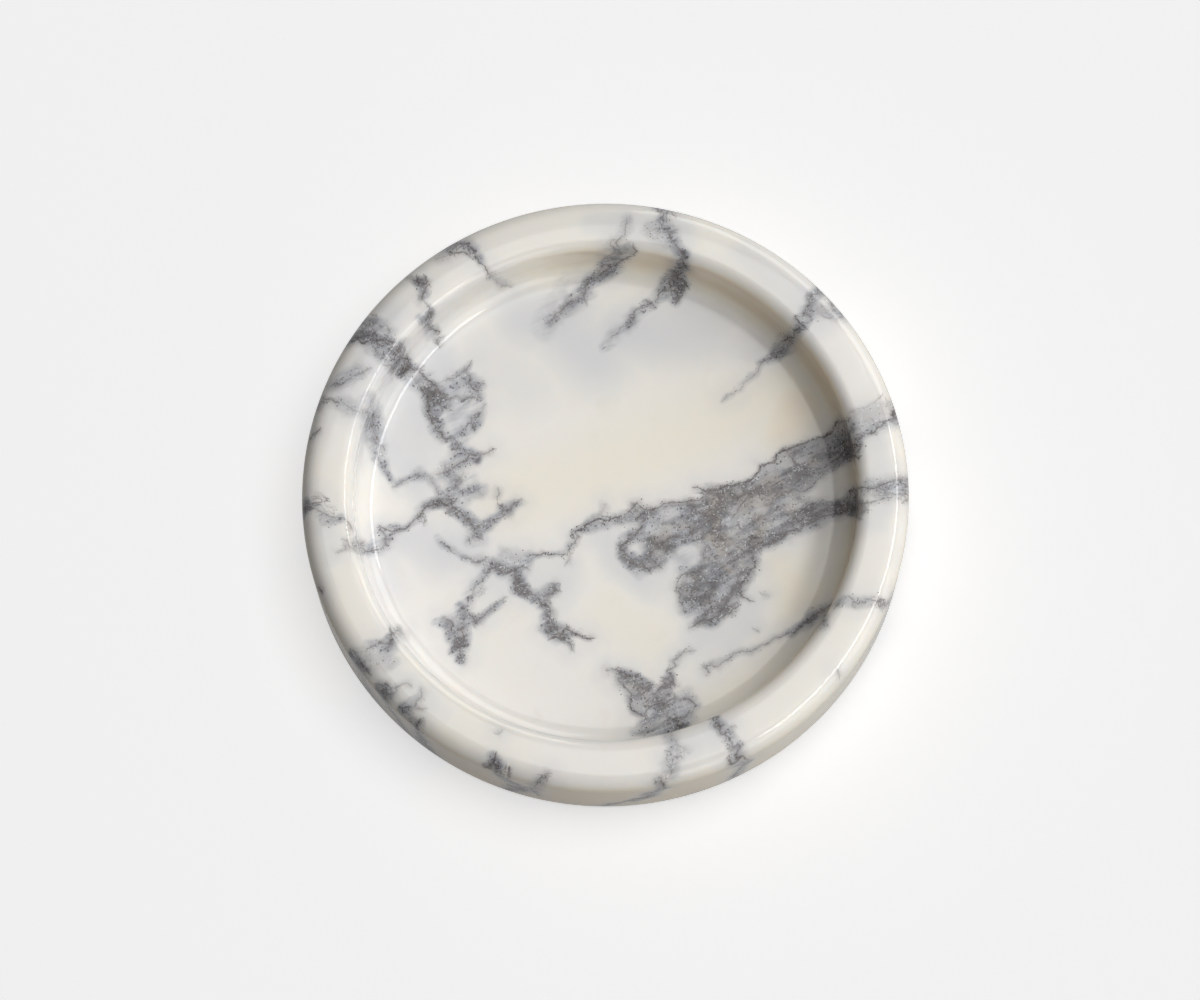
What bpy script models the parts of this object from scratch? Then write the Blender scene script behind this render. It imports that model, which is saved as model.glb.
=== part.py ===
# A round dish turned from one block of veined marble, standing on four small
# rubber pads that are stuck to its underside.
# Units are metres, +Z is up and the front of the dish faces -Y. The origin is on the
# table, under the middle of the dish.

import math

import bmesh
import bpy
from mathutils import Vector

# Marble body
dish_diameter = 0.150
dish_height = 0.026
wall_thickness = 0.0127
floor_thickness = 0.0098
inner_lip_radius = 0.0035
outer_lip_radius = 0.0040
floor_cove_radius = 0.0060
base_edge_radius = 0.0030
dish_facets = 120
round_steps = 6

# Foot pads
pad_diameter = 0.010
pad_tip_diameter = 0.0080
pad_height = 0.0020
pad_tip_radius = 0.0006
pad_edge_margin = 0.010
glue_gap = 0.0003
pad_facets = 32
pad_round_steps = 3
pad_names = ["rear_right", "rear_left", "front_left", "front_right"]

# A rounding takes at most this share of the shorter side of its corner, so that two
# roundings on one wall never meet.
rounding_share = 0.45

# sRGB colours
marble_colour = (0.87, 0.85, 0.82)
pad_colour = (0.86, 0.87, 0.86)
marble_roughness = 0.14
pad_roughness = 0.35
pad_alpha = 0.6


def linear(colour):
    """An sRGB colour as the linear values a shader takes."""
    channels = [c / 12.92 if c <= 0.04045 else ((c + 0.055) / 1.055) ** 2.4 for c in colour]
    return (*channels, 1.0)


def make_material(name, colour, roughness, alpha=1.0):
    material = bpy.data.materials.new(name)
    material.use_nodes = True
    shader = material.node_tree.nodes["Principled BSDF"]
    shader.inputs["Base Color"].default_value = linear(colour)
    shader.inputs["Roughness"].default_value = roughness
    shader.inputs["Metallic"].default_value = 0.0
    shader.inputs["Alpha"].default_value = alpha
    return material


def turned_mesh(name, outline, roundings, facets, steps):
    """Round the outline's inner corners, turn it about +Z and return the closed mesh.

    outline is a list of (radius, height) that starts and ends on the axis.
    roundings holds one fillet radius for each corner between those ends, 0 for a
    sharp one.
    """
    bm = bmesh.new()
    corners = [bm.verts.new((radius, 0.0, height)) for radius, height in outline]
    for start, end in zip(corners, corners[1:]):
        bm.edges.new((start, end))

    sides = [(end.co - start.co).length for start, end in zip(corners, corners[1:])]
    for corner, wanted, before, after in zip(corners[1:-1], roundings, sides, sides[1:]):
        radius = min(wanted, rounding_share * min(before, after))
        if radius > 0.0:
            # A vertex bevel of this offset gives a fillet of this radius on a square corner.
            bmesh.ops.bevel(bm, geom=[corner], offset=radius, offset_type="OFFSET",
                            segments=steps, profile=0.5, affect="VERTICES", material=-1)

    bmesh.ops.spin(bm, geom=bm.verts[:] + bm.edges[:], cent=(0.0, 0.0, 0.0),
                   axis=(0.0, 0.0, 1.0), dvec=(0.0, 0.0, 0.0), angle=2.0 * math.pi,
                   steps=facets, use_merge=True, use_normal_flip=False, use_duplicate=False)
    widest = max(radius for radius, height in outline)
    same_point = widest * merge_share
    bmesh.ops.remove_doubles(bm, verts=bm.verts[:], dist=same_point)

    # The triangles around each pole become one flat round face.
    poles = [vert for vert in bm.verts if Vector(vert.co.xy).length < same_point]
    bmesh.ops.dissolve_verts(bm, verts=poles)
    bmesh.ops.recalc_face_normals(bm, faces=bm.faces[:])

    mesh = bpy.data.meshes.new(name)
    bm.to_mesh(mesh)
    bm.free()
    mesh.shade_smooth()
    mesh.set_sharp_from_angle(angle=sharp_angle)
    return mesh


# Points closer than this share of a piece's radius are one point.
merge_share = 0.0001
sharp_angle = math.radians(30.0)


def make_dish(stone_bottom, parent):
    """The marble body: a flat floor, an upright wall and rounded lips."""
    outer_radius = dish_diameter / 2.0
    inner_radius = outer_radius - wall_thickness
    outline = [
        (0.0, floor_thickness),
        (inner_radius, floor_thickness),
        (inner_radius, dish_height),
        (outer_radius, dish_height),
        (outer_radius, 0.0),
        (0.0, 0.0),
    ]
    roundings = [floor_cove_radius, inner_lip_radius, outer_lip_radius, base_edge_radius]
    mesh = turned_mesh("dish_body", outline, roundings, dish_facets, round_steps)
    mesh.materials.append(make_material("marble", marble_colour, marble_roughness))
    dish = bpy.data.objects.new("dish_body", mesh)
    dish.location = (0.0, 0.0, stone_bottom)
    dish.parent = parent
    bpy.context.scene.collection.objects.link(dish)


def make_pads(parent):
    """Four bumpers under the edge of the flat underside, a quarter turn apart."""
    outline = [
        (0.0, pad_height),
        (pad_diameter / 2.0, pad_height),
        (pad_tip_diameter / 2.0, 0.0),
        (0.0, 0.0),
    ]
    mesh = turned_mesh("foot_pad", outline, [0.0, pad_tip_radius], pad_facets, pad_round_steps)
    mesh.materials.append(make_material("clear_rubber", pad_colour, pad_roughness, pad_alpha))

    flat_radius = dish_diameter / 2.0 - base_edge_radius
    circle_radius = flat_radius - pad_edge_margin - pad_diameter / 2.0
    for index, place in enumerate(pad_names):
        angle = (index + 0.5) * 2.0 * math.pi / len(pad_names)
        pad = bpy.data.objects.new("foot_pad_" + place, mesh)
        pad.location = (circle_radius * math.cos(angle), circle_radius * math.sin(angle), 0.0)
        pad.parent = parent
        bpy.context.scene.collection.objects.link(pad)


for old in list(bpy.data.objects):
    bpy.data.objects.remove(old, do_unlink=True)

marble_dish = bpy.data.objects.new("marble_dish", None)
bpy.context.scene.collection.objects.link(marble_dish)
make_dish(pad_height + glue_gap, marble_dish)
make_pads(marble_dish)
bpy.context.view_layer.update()
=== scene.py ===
# A round dish turned from one block of veined marble, on four clear rubber bumpers.
# Lengths are in metres, except where a name or comment says mm.

import math

import bmesh
import bpy
import numpy as np
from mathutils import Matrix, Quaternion, Vector, noise


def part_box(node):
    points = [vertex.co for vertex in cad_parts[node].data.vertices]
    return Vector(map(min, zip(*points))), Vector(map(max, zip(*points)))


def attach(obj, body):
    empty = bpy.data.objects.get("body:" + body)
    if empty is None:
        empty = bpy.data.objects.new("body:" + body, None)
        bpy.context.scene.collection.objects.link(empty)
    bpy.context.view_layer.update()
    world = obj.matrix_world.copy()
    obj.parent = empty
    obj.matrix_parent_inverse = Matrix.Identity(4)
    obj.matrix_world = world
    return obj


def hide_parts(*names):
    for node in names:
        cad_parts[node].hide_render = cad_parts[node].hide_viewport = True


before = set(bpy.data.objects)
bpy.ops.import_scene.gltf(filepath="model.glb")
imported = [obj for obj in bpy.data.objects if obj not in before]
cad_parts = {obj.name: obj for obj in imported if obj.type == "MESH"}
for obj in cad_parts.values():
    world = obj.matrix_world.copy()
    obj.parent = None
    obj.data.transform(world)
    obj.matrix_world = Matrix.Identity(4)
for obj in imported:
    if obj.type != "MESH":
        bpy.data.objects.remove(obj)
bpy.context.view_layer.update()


# The dish body is one block of white marble with grey veins. It is turned on a lathe to a
# thick wall, a flat floor and rounded lips, and then polished all over. The veins are
# part of the stone, so they run on over the lips from rim to wall and from wall to floor.
stone_low, stone_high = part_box("dish_body")
wall_thickness = 0.0127
floor_thickness = 0.0098
outer_radius = stone_high.x
inner_radius = outer_radius - wall_thickness
floor_top = stone_low.z + floor_thickness
floor_cove = 0.0060
inner_lip = 0.0028
outer_lip = 0.0040
base_edge = 0.0030
crown_radius = 0.045
crown_inward = 0.0008
crown_middle = (inner_radius + outer_radius) / 2.0 - crown_inward
crown_depth = 1.2 * outer_lip
stone_facets = 560
vein_step = 0.0008
merge_distance = 0.00001
MM = 1000.0


def round_corner(bm, corner, radius, arc_steps):
    """Round one corner of an outline. On a square corner the fillet has this radius."""
    bmesh.ops.bevel(bm, geom=[corner], offset=radius, offset_type="OFFSET",
                    segments=arc_steps, profile=0.5, affect="VERTICES", material=-1)


def turn_outline(bm, facets):
    """Turn an outline once round +Z and close its seam."""
    bmesh.ops.spin(bm, geom=bm.verts[:] + bm.edges[:], cent=(0.0, 0.0, 0.0),
                   axis=(0.0, 0.0, 1.0), dvec=(0.0, 0.0, 0.0), angle=2.0 * math.pi,
                   steps=facets, use_merge=True, use_normal_flip=False,
                   use_duplicate=False)
    bmesh.ops.remove_doubles(bm, verts=bm.verts[:], dist=merge_distance)


bm = bmesh.new()
corners = [
    bm.verts.new((radius, 0.0, height))
    for radius, height in [
        (inner_radius - 2.0 * floor_cove, floor_top),
        (inner_radius, floor_top),
        (inner_radius, stone_high.z),
        (outer_radius, stone_high.z),
        (outer_radius, stone_low.z),
        (outer_radius - 4.0 * base_edge, stone_low.z),
    ]
]
for start, end in zip(corners, corners[1:]):
    bm.edges.new((start, end))
for corner, radius in zip(corners[1:-1], [floor_cove, inner_lip, outer_lip, base_edge]):
    round_corner(bm, corner, radius, round(radius * math.pi / 2.0 / vein_step))
for edge in list(bm.edges):
    cuts = math.ceil(edge.calc_length() / vein_step) - 1
    if cuts > 0:
        bmesh.ops.subdivide_edges(bm, edges=[edge], cuts=cuts)
# The polished rim is very slightly crowned between its two lips.
for vert in bm.verts:
    if vert.co.z > stone_high.z - crown_depth:
        vert.co.z -= (vert.co.x - crown_middle) ** 2 / (2.0 * crown_radius)
turn_outline(bm, stone_facets)

# The flat discs of the floor and the underside are filled with an even grid of squares
# between two opposite quarters of each open edge.
open_edges = [edge for edge in bm.edges if edge.is_boundary]
for level in (floor_top, stone_low.z):
    quarters = []
    for edge in open_edges:
        middle = (edge.verts[0].co + edge.verts[1].co) / 2.0
        if abs(middle.z - level) < merge_distance and abs(middle.x) > abs(middle.y):
            quarters.append(edge)
    bmesh.ops.grid_fill(bm, edges=quarters, mat_nr=0, use_smooth=True,
                        use_interp_simple=False)
bmesh.ops.recalc_face_normals(bm, faces=bm.faces[:])

stone_mesh = bpy.data.meshes.new("marble_body")
bm.to_mesh(stone_mesh)
bm.free()
stone_mesh.shade_smooth()

# The veins, read off the stone, in mm. A grey vein is a row of points, each x, y
# and half its width there. Its first number is how dark it is, from 0 to 1.
floor_greys = [
    # left cluster, from the wall down
    (0.80, [(-54.2, 33.6, 0.8), (-52, 34.6, 1.1), (-50, 35, 1.6), (-48.3, 35, 1.4),
            (-46.6, 35.4, 0.9)]),
    (0.80, [(-47.2, 34.2, 1.1), (-45, 32.3, 1.4), (-43.4, 31.2, 1.8), (-42.5, 30, 1.9),
            (-41, 29.2, 1.2), (-39.6, 28.8, 0.8)]),
    (0.85, [(-43.6, 29, 1.2), (-43.8, 26.5, 0.9), (-43.6, 24, 1), (-42.8, 22.4, 1),
            (-41.6, 21, 0.7), (-40.8, 19.2, 0.8), (-40.2, 18.2, 0.5)]),
    (0.55, [(-36.8, 34, 0.7), (-35, 34.6, 0.8), (-34, 33, 0.9), (-32.6, 31.2, 0.8),
            (-31.7, 30, 0.9), (-31.4, 28.9, 0.6)]),
    (0.50, [(-32.4, 28.9, 0.5), (-35, 28.3, 0.6), (-37.2, 28.2, 0.6), (-38.9, 27.2, 0.9),
            (-39.5, 26, 0.7)]),
    (0.55, [(-31.4, 24, 0.4), (-32.6, 23.2, 0.8), (-33, 22, 0.8), (-32.8, 21.2, 0.5)]),
    (0.50, [(-34.9, 20.2, 0.6), (-35, 19, 0.4)]),
    (0.65, [(-36.6, 14.2, 0.4), (-35.2, 13.8, 0.7), (-33.6, 13.4, 1), (-32.2, 12.7, 0.7)]),
    (0.65, [(-33.4, 12.4, 0.5), (-35.4, 11.8, 0.6), (-37.2, 10.8, 0.8), (-38.6, 9.8, 0.7),
            (-40, 9, 0.6)]),
    (0.50, [(-38.2, 8.4, 1.2), (-36.6, 7.4, 1.1), (-37.4, 5.6, 1.2), (-38.6, 3.8, 1.3),
            (-39.6, 2.4, 1.2)]),
    (0.45, [(-34.4, 5, 1), (-33, 5, 1), (-31.6, 4, 0.6)]),
    (0.80, [(-38.6, 2, 1.2), (-40.4, 1.7, 1.1), (-42, 1.4, 0.9), (-43.6, 0.9, 0.8),
            (-45.2, 0.1, 0.8), (-46.2, -1, 0.7), (-47, -2.2, 0.5)]),
    (0.60, [(-55.4, -6.4, 0.7), (-55.1, -7.8, 0.9), (-54.9, -9.2, 0.5)]),
    (0.40, [(-46.6, 8.4, 0.8), (-47.6, 8.2, 0.7)]),
    (0.45, [(-57.9, 22.2, 0.6), (-57.9, 20.4, 1.1), (-58, 18.4, 1.1), (-57.4, 16.4, 1),
            (-56, 15.4, 0.9)]),
    (0.45, [(-56.9, 14.6, 0.8), (-56.7, 13.2, 1), (-55.9, 11.8, 0.5)]),
    # centre left
    (0.70, [(-38.6, -0.4, 1), (-36.7, -1.4, 0.9), (-35.5, -2.6, 0.6), (-34.2, -3.5, 0.6),
            (-33.3, -4.9, 0.8), (-32.4, -6.1, 1), (-31.6, -7.2, 0.8)]),
    (0.65, [(-31.6, -5.2, 1), (-30.3, -4.8, 0.8), (-29.1, -3.7, 0.4), (-28, -3.1, 0.3)]),
    (0.60, [(-26, 0.1, 0.4), (-24.6, -0.4, 0.7), (-24.2, -1.4, 0.5), (-23.2, 0.2, 0.7),
            (-22, 1.1, 0.4)]),
    (0.75, [(-28.4, -14.7, 0.7), (-26.2, -15.4, 0.9), (-24.2, -16.1, 0.9), (-22.4, -16.8, 1.4),
            (-21.4, -15.8, 0.9), (-20.2, -15.8, 0.5)]),
    (0.75, [(-22.8, -17.6, 0.9), (-22.2, -19.4, 1.1), (-22.3, -21, 0.9), (-20.8, -20.8, 0.9),
            (-20.4, -22.5, 0.9), (-18.5, -22.6, 0.6)]),
    (0.70, [(-17.2, -23.6, 0.6), (-15.6, -22.9, 0.9), (-14.2, -22.2, 0.7), (-12.4, -21.5, 0.4)]),
    (0.78, [(-17, -24.2, 0.7), (-15.6, -25.4, 0.9), (-14.9, -27, 1), (-14, -28.6, 0.8),
            (-13.5, -30.2, 0.8), (-13.1, -31.6, 1.1), (-11.8, -32.9, 1.6), (-10.2, -32.6, 1.3),
            (-8.8, -33, 0.8), (-7.4, -33.2, 0.4)]),
    (0.75, [(-11.8, -33.6, 0.8), (-10.4, -34.8, 0.7), (-9.5, -36, 0.4)]),
    (0.35, [(-25, -12.4, 1.2), (-22.4, -13.4, 1.6), (-20, -14.2, 1.2), (-18.8, -12.8, 0.7)]),
    # lower left
    (0.70, [(-35.8, -26.8, 0.8), (-35.5, -28.4, 1.1), (-36, -30, 1.4), (-36.8, -31.8, 1.7),
            (-37, -33.6, 1.5), (-36.5, -35.4, 1.2), (-36.6, -37.2, 1), (-36, -38.6, 0.7)]),
    (0.70, [(-40.3, -28.7, 0.5), (-38.9, -29.6, 0.8), (-38.8, -31, 0.9)]),
    (0.60, [(-33.6, -27.6, 0.4), (-33, -29, 0.6), (-31.9, -28.4, 0.5), (-30.4, -27.4, 0.4),
            (-29.2, -26.5, 0.4)]),
    # long vein and the knot where the grey mass begins
    (0.60, [(-8, -7.3, 0.3), (-6, -6.2, 0.4), (-4.4, -5.4, 0.9), (-2.4, -4.4, 1), (0, -4.6, 0.7)]),
    (0.80, [(7, -0.2, 0.4), (8, -1.2, 0.9), (9, -2, 1.1)]),
    # dark and pale bands inside the grey mass
    # The dark band below widens where it meets the right wall; that end is painted shade as well as
    # vein.
    (0.95, [(42, 4.2, 0.8), (46, 5.8, 1), (50, 7.4, 1.2), (54, 8.6, 1.2), (57, 10.2, 1.5),
            (60, 12, 2.4), (62.5, 13, 2.6)]),
    (0.70, [(41.5, 1.1, 0.6), (44, 1.8, 0.7), (47.8, 3.6, 0.8), (50.6, 3.8, 0.8),
            (52.2, 5.3, 0.7)]),
    (0.95, [(39.4, -10.8, 0.7), (42.4, -9.8, 0.8), (45.2, -8.3, 1), (47.4, -6.6, 1.2),
            (49.8, -3.8, 1.6), (52.2, -2.4, 1.4), (55.6, -2, 1.2), (60, -1.8, 1.6),
            (62.5, -1.6, 1.6)]),
    (0.90, [(18, -8.4, 0.9), (20.6, -7.4, 1), (23.6, -5.6, 1.5), (25.8, -4.8, 1.7),
            (28.6, -1.6, 1.7), (30.5, -0.4, 1.4), (33, 2, 1.2), (36, 3.6, 0.9)]),
    (0.80, [(20.8, -3.4, 1.3), (23.5, -2.8, 1.4), (26, -0.8, 1.2)]),
    (0.75, [(8.8, -2.4, 1), (11.4, -3.6, 1), (14, -4.6, 0.8)]),
    (0.85, [(33.4, -12.8, 1.1), (34.8, -11, 1.1), (36.9, -9, 1.2), (38.6, -8, 0.8)]),
    (0.85, [(36.6, -14.7, 0.9), (36, -17.6, 1), (34.2, -19.8, 1), (32.8, -21.6, 1.1),
            (31.6, -24.4, 1.2), (30.2, -27, 1.2), (27.6, -28.6, 1.1), (24.4, -30, 0.9),
            (22.2, -31, 0.5)]),
    (0.60, [(18.4, -19.6, 0.8), (17.7, -21.6, 0.8), (18.6, -23.8, 0.7), (19.8, -26, 0.7)]),
    (0.12, [(14, -3, 1.4), (16.5, -3, 1.6), (18.6, -4.4, 1)]),
    (0.30, [(9.6, -6.6, 1), (12.6, -6.4, 1.4), (15.6, -6.8, 1.2)]),
    (0.22, [(33.6, -4.6, 0.6), (36, -3.2, 1), (38.6, -1.4, 0.7)]),
    (0.30, [(29.6, -4, 0.6), (32, -1.6, 0.7), (35.2, 1.2, 0.6)]),
    (0.20, [(39, 6.4, 0.9), (41, 7.6, 1.3), (44, 9.4, 1.4), (46, 10.4, 0.9)]),
    (0.28, [(49, 11.6, 0.9), (52, 12.6, 1.5), (55, 13.6, 1.2)]),
    (0.25, [(40.4, -7, 0.9), (42.4, -6.6, 1.5), (44.6, -5, 0.8)]),
    (0.30, [(42, -2, 0.9), (45.4, -0.6, 1.2), (49, -0.4, 0.9)]),
    (0.30, [(27.6, -24.4, 0.9), (29.2, -22, 1), (31.2, -19, 0.8)]),
    # the hook at its left
    (0.78, [(8, -6.4, 0.6), (6.9, -8, 0.8), (5.2, -9.4, 0.8), (4, -11.2, 1.2), (4.4, -13.2, 1.1),
            (5.8, -14.8, 1), (7.6, -16, 1.3), (9.6, -16.1, 1.1), (11, -14.4, 1.2),
            (12, -12.8, 1.6), (13.4, -11.2, 1.8), (15.2, -10, 1.6), (17, -8.8, 1.4),
            (18.6, -8.4, 1)]),
    # bottom body
    (0.75, [(3.6, -43.3, 0.7), (4.8, -44.4, 1.2), (7, -45.6, 1.3), (9, -46, 0.9),
            (10.4, -45.8, 0.4)]),
    (0.80, [(5.6, -47.4, 1), (6.4, -49.8, 1.4), (6.6, -51.8, 1.3), (8.4, -53.4, 0.9)]),
    (0.55, [(6, -58.3, 0.5), (9, -57.6, 1.4), (13, -57.6, 1.6), (17, -56.8, 0.8)]),
    (0.75, [(12.6, -48.2, 0.7), (14.2, -46.7, 0.9), (15.4, -45.5, 0.9), (16, -44.6, 0.5)]),
    # lower right vein
    (0.55, [(45.5, -33.4, 0.5), (48, -32, 0.8), (50.2, -30.5, 1.4), (52.6, -29.2, 1.4),
            (54.8, -28.2, 1.2)]),
    # upper right vein
    (0.55, [(39.8, 36, 0.5), (42, 37.4, 0.8), (44.4, 38.8, 1.1), (46.6, 40.2, 1.1)]),
    # two veins under the rear wall
    (0.60, [(-0.4, 60.2, 1.1), (-2.2, 59, 1.1), (-4, 57, 1.2), (-4.8, 54.8, 1.4)]),
    (0.50, [(-5.6, 54.4, 1), (-7.8, 53, 1.2), (-10.2, 51, 1.2), (-12.2, 49.2, 1.2),
            (-13.8, 47.8, 0.8)]),
    (0.80, [(3.6, 61.4, 0.6), (1.8, 60.8, 1.2), (0, 59.8, 1)]),
    (0.80, [(18.6, 58.6, 1.6), (16.8, 57.2, 1.4), (16.2, 55.6, 1.2), (14.6, 55, 0.8)]),
    (0.70, [(20.6, 57.6, 0.8), (19.6, 55.8, 1.4), (19.2, 53.4, 0.8)]),
    (0.60, [(12.6, 51.9, 0.4), (11.7, 52.4, 0.5), (10, 51.2, 0.3), (8.4, 50.6, 0.3)]),
    (0.60, [(8.2, 49.6, 0.3), (7.4, 47.8, 0.6), (5.6, 46.4, 0.4)]),
    (0.55, [(-41.6, 43.6, 0.6), (-41.3, 42.4, 0.3)]),
    (0.40, [(-51.9, -30.8, 0.3), (-52, -32.2, 0.9), (-52.6, -34, 0.7)]),
]

# The two large grey bodies of the floor are drawn as closed outlines: how dark, then x, y.
floor_bodies = [
    (0.72, [(-0.5, -4), (4.2, -2.6), (6.9, -1.7), (7.2, -0.3), (8.8, -0.9), (12.2, -1),
            (14.7, 0.3), (16.7, 0.4), (20.3, 0.3), (22.8, 0.8), (24.4, 1.8), (24, 3.2),
            (26.7, 3.9), (28.9, 4.7), (31.9, 5), (34.3, 5.8), (35.3, 5.4), (36.9, 6.4),
            (38.3, 7.8), (38.9, 9.2), (41.7, 10.1), (42.9, 12), (46, 14.2), (49.4, 14.9),
            (53.1, 16.1), (55, 16.4), (57.6, 18.6), (62.3, 17.5), (62.3, 9.5), (57, 8.6),
            (55, 7.4), (52.4, 5), (50.8, 3), (49.2, 1.8), (52, 0.2), (62.3, 0.2), (62.3, -3.8),
            (57.8, -3.6), (55.6, -4), (53.1, -5.6), (50.8, -5.8), (47, -7.8), (45.3, -8.8),
            (42.2, -10.2), (40, -11), (37.9, -12.6), (37, -14.7), (36.6, -16.6), (36, -18.2),
            (34.4, -20), (33.2, -21.8), (32.4, -25.4), (30.8, -27.9), (28.4, -29.5), (25, -30.6),
            (21.4, -31.6), (22.2, -28.4), (19.4, -26.1), (18.1, -23.9), (17.1, -21.4), (18, -19.2),
            (20, -17.6), (22.6, -16.4), (23.4, -14.6), (24, -12.6), (23.4, -11), (21, -9.2),
            (19.4, -9.4), (18, -10.4), (16.6, -12.6), (14.8, -13.2), (13.6, -15.8), (11.2, -16.8),
            (11, -14), (10.2, -12), (8.8, -9.8), (7, -7.8), (8.4, -6.4), (7.4, -4.6), (3, -4.6)]),
    (0.52, [(0.6, -42), (3.3, -42.8), (4.6, -42.6), (5.4, -43.8), (7.2, -43.9), (7.4, -45.2),
            (10.6, -45.6), (10.2, -46.6), (11.6, -47.8), (13, -46.6), (13.2, -44.6), (15.8, -44.2),
            (16.6, -46), (15.6, -47.4), (17, -48.8), (19.6, -47.6), (20, -49.6), (21.6, -51.4),
            (20.6, -53.2), (20.4, -55.4), (20, -57.8), (14, -59.4), (8, -59.4), (7.6, -56),
            (9.4, -54.8), (6, -52.4), (5, -51.2), (5.8, -49.6), (3.8, -47.6), (2.6, -45.8),
            (3, -44.4)]),
]

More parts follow.
